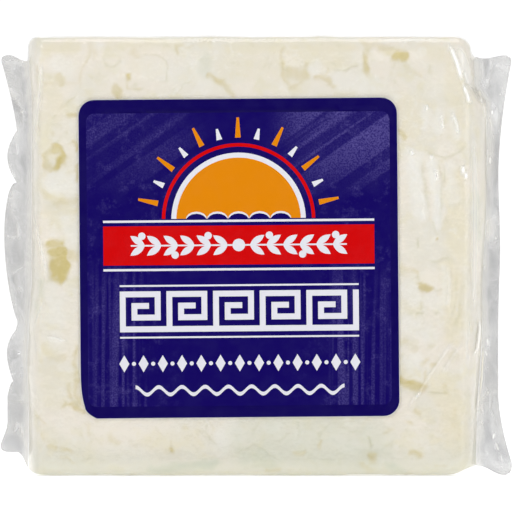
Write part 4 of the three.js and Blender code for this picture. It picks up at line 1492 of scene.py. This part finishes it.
def film_material():
    """Clear glossy film, greyer and cloudier where it is sealed to itself, and painted white where
    its highlights, glints and edge light are painted.
    """
    material = new_material("clear_film")
    where = place_in_mm(material)
    ripple = noise_of(material, where, 2.2, 3.0, 0.55, 0.6)
    crinkle = noise_of(material, where, 0.7, 2.0, 0.5)
    normal = bumped(material, weighted(material, 0.3, crinkle, ripple), 0.25, 0.5)
    shade = field_of(material, "shade")
    tint = mix_colours(material, shade, srgb(255, 255, 255), srgb(200, 200, 201))
    clear = add_node(material, "ShaderNodeBsdfTransparent", {"Color": tint})
    cream = field_of(material, "cream")
    milk = mix_colours(material, cream, srgb(244, 244, 242), srgb(238, 233, 217))
    cloud = principled(material, milk, 0.35, 0.4, {"Normal": normal})
    # The white cloud shows real haze in the seals, and painted highlights and painted light
    # elsewhere
    body = mix_shaders(material, field_of(material, "haze_and_highlight"), clear, cloud)
    glossy = {"Color": (1, 1, 1, 1), "Roughness": 0.09, "Normal": normal}
    gloss = add_node(material, "ShaderNodeBsdfGlossy", glossy)
    facing = add_node(material, "ShaderNodeLayerWeight", {"Blend": 0.5, "Normal": normal})
    glance = maths(material, "POWER", facing.outputs["Facing"], 5.0)
    mirror = weighted(material, 0.6, glance, 0.03)
    return finish_material(material, mix_shaders(material, mirror, body, gloss))


def ink_shader(material, colour):
    where = place_in_mm(material)
    mottle = noise_of(material, where, 3.0, 3.0, 0.6)
    grain = noise_of(material, where, 0.4, 2.0, 0.5)
    wear = remap(material, mottle, 0.35, 0.7, 0.0, 0.006)
    worn = mix_colours(material, wear, colour, srgb(170, 165, 190))
    normal = bumped(material, weighted(material, 0.3, grain, mottle), 0.1, 0.3)
    return finish_material(material, principled(material, worn, 0.42, 0.04, {"Normal": normal}))


def ink_material(name, colour):
    return ink_shader(new_material(name), colour)


def panel_material():
    """The blue panel's ink: thin in slanting rays above and in flutes below, and finely dotted."""
    material = new_material("panel_ink")
    where = place_in_mm(material)
    parts = add_node(material, "ShaderNodeSeparateXYZ", {0: where}).outputs
    across = maths(material, "SUBTRACT", parts["X"], float(LABEL_MIDDLE[0]))
    up = maths(material, "SUBTRACT", parts["Z"], float(LABEL_MIDDLE[2]))
    aside = maths(material, "ABSOLUTE", across)
    rays = noise_of(material, place_in_mm(material, -35, (60, 1, 1)), 2.6, 2.0, 0.6)
    flutes = noise_of(material, place_in_mm(material, 0, (1, 1, 60)), 0.9, 1.0, 0.5)
    blots = noise_of(material, where, 2.2, 4.0, 0.7)
    dots = noise_of(material, where, 0.3, 1.0, 0.5)
    upper = product(
        material,
        remap(material, rays, 0.46, 0.56, 0.04, 0.17),
        remap(material, aside, 4.0, 16.0),
        remap(material, up, 10.0, 25.0),
        remap(material, across, -8.0, 12.0, 0.4, 1.0),
    )
    lower = product(
        material,
        remap(material, flutes, 0.42, 0.6, 0.0, 0.1),
        remap(material, aside, 17.6, 18.8),
        remap(material, aside, 22.0, 31.0, 1.0, 0.4),
        remap(material, up, 1.0, -8.0),
    )
    middle = product(
        material,
        remap(material, blots, 0.5, 0.7, 0.0, 0.06),
        remap(material, aside, 8.0, 20.0),
    )
    thin = maths(material, "ADD", maths(material, "MAXIMUM", upper, lower), middle)
    dotted = product(material, thin, remap(material, dots, 0.35, 0.65, 0.35, 1.15))
    colour = mix_colours(material, dotted, srgb(12, 0, 84), srgb(150, 138, 215))
    return ink_shader(material, colour)


def label_inks():
    return {
        "white_ink": ink_material("white_ink", srgb(205, 205, 212)),
        "border_ink": ink_material("border_ink", srgb(10, 0, 76)),
        "panel_ink": panel_material(),
        "orange_ink": ink_material("orange_ink", srgb(203, 121, 2)),
        "red_ink": ink_material("red_ink", srgb(186, 1, 3)),
    }


def floor_material():
    material = new_material("studio_floor")
    glow = {"Emission Color": (1, 1, 1, 1), "Emission Strength": 0.45}
    return finish_material(material, principled(material, (0.95, 0.95, 0.95, 1), 0.9, 0.1, glow))


def make_floor():
    half, level = 2000, -0.05
    corners = [(x, y, level) for x, y in box(-half, half, -half, half)]
    return mesh_object("floor", corners, [(0, 1, 2, 3)], [floor_material()])


def area_light(name, place, aim, size, watts):
    """A square soft box, in metres, turned towards a point."""
    lamp = bpy.data.lights.new(name, "AREA")
    lamp.size = size
    lamp.energy = watts
    made = bpy.data.objects.new(name, lamp)
    made.location = place
    made.rotation_euler = (Vector(aim) - Vector(place)).to_track_quat("-Z", "Y").to_euler()
    bpy.context.collection.objects.link(made)


def make_world():
    """A white backdrop: bright where it shows and behind the pack, dimmer on the front's side."""
    world = bpy.data.worlds.new("studio")
    world.use_nodes = True
    world.node_tree.nodes.clear()
    heading = add_node(world, "ShaderNodeTexCoord").outputs["Generated"]
    parts = add_node(world, "ShaderNodeSeparateXYZ", {0: heading}).outputs
    lit = remap(world, parts["Y"], -0.45, 0.25, 0.34, 0.9)
    seen = add_node(world, "ShaderNodeLightPath").outputs["Is Camera Ray"]
    strength = maths(world, "MAXIMUM", lit, maths(world, "MULTIPLY", seen, 1.1))
    white = {"Color": (1, 1, 1, 1), "Strength": strength}
    background = add_node(world, "ShaderNodeBackground", white)
    add_node(world, "ShaderNodeOutputWorld", {"Surface": background.outputs[0]})
    bpy.context.scene.world = world


def make_lights():
    for name, light in LIGHTS.items():
        area_light(name, light["place"], (0, 0, MIDDLE_HEIGHT), light["size"], light["watts"])


def make_camera():
    """Straight in front at half the pack's height, far off, with the pack across the frame."""
    data = bpy.data.cameras.new("camera")
    data.sensor_width = 36
    data.lens = data.sensor_width * CAMERA_DISTANCE / ((bag_high[0] - bag_low[0]) * MM)
    camera = bpy.data.objects.new("camera", data)
    camera.location = (0, -CAMERA_DISTANCE, CAMERA_HEIGHT)
    camera.rotation_euler = (np.pi / 2, 0, 0)
    bpy.context.collection.objects.link(camera)
    bpy.context.scene.camera = camera


def main():
    bpy.context.scene.view_settings.view_transform = "Standard"
    make_camera()
    make_world()
    make_lights()
    make_floor()
    curd = make_curd(curd_material())
    film = make_film(film_material())
    label = make_label(label_inks())
    for piece, node, slot in (
        (curd, "sealed_bag", "cheese"),
        (film, "sealed_bag", "film"),
        (label, "label", "label"),
    ):
        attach(piece, "root")
        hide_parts(node)


main()
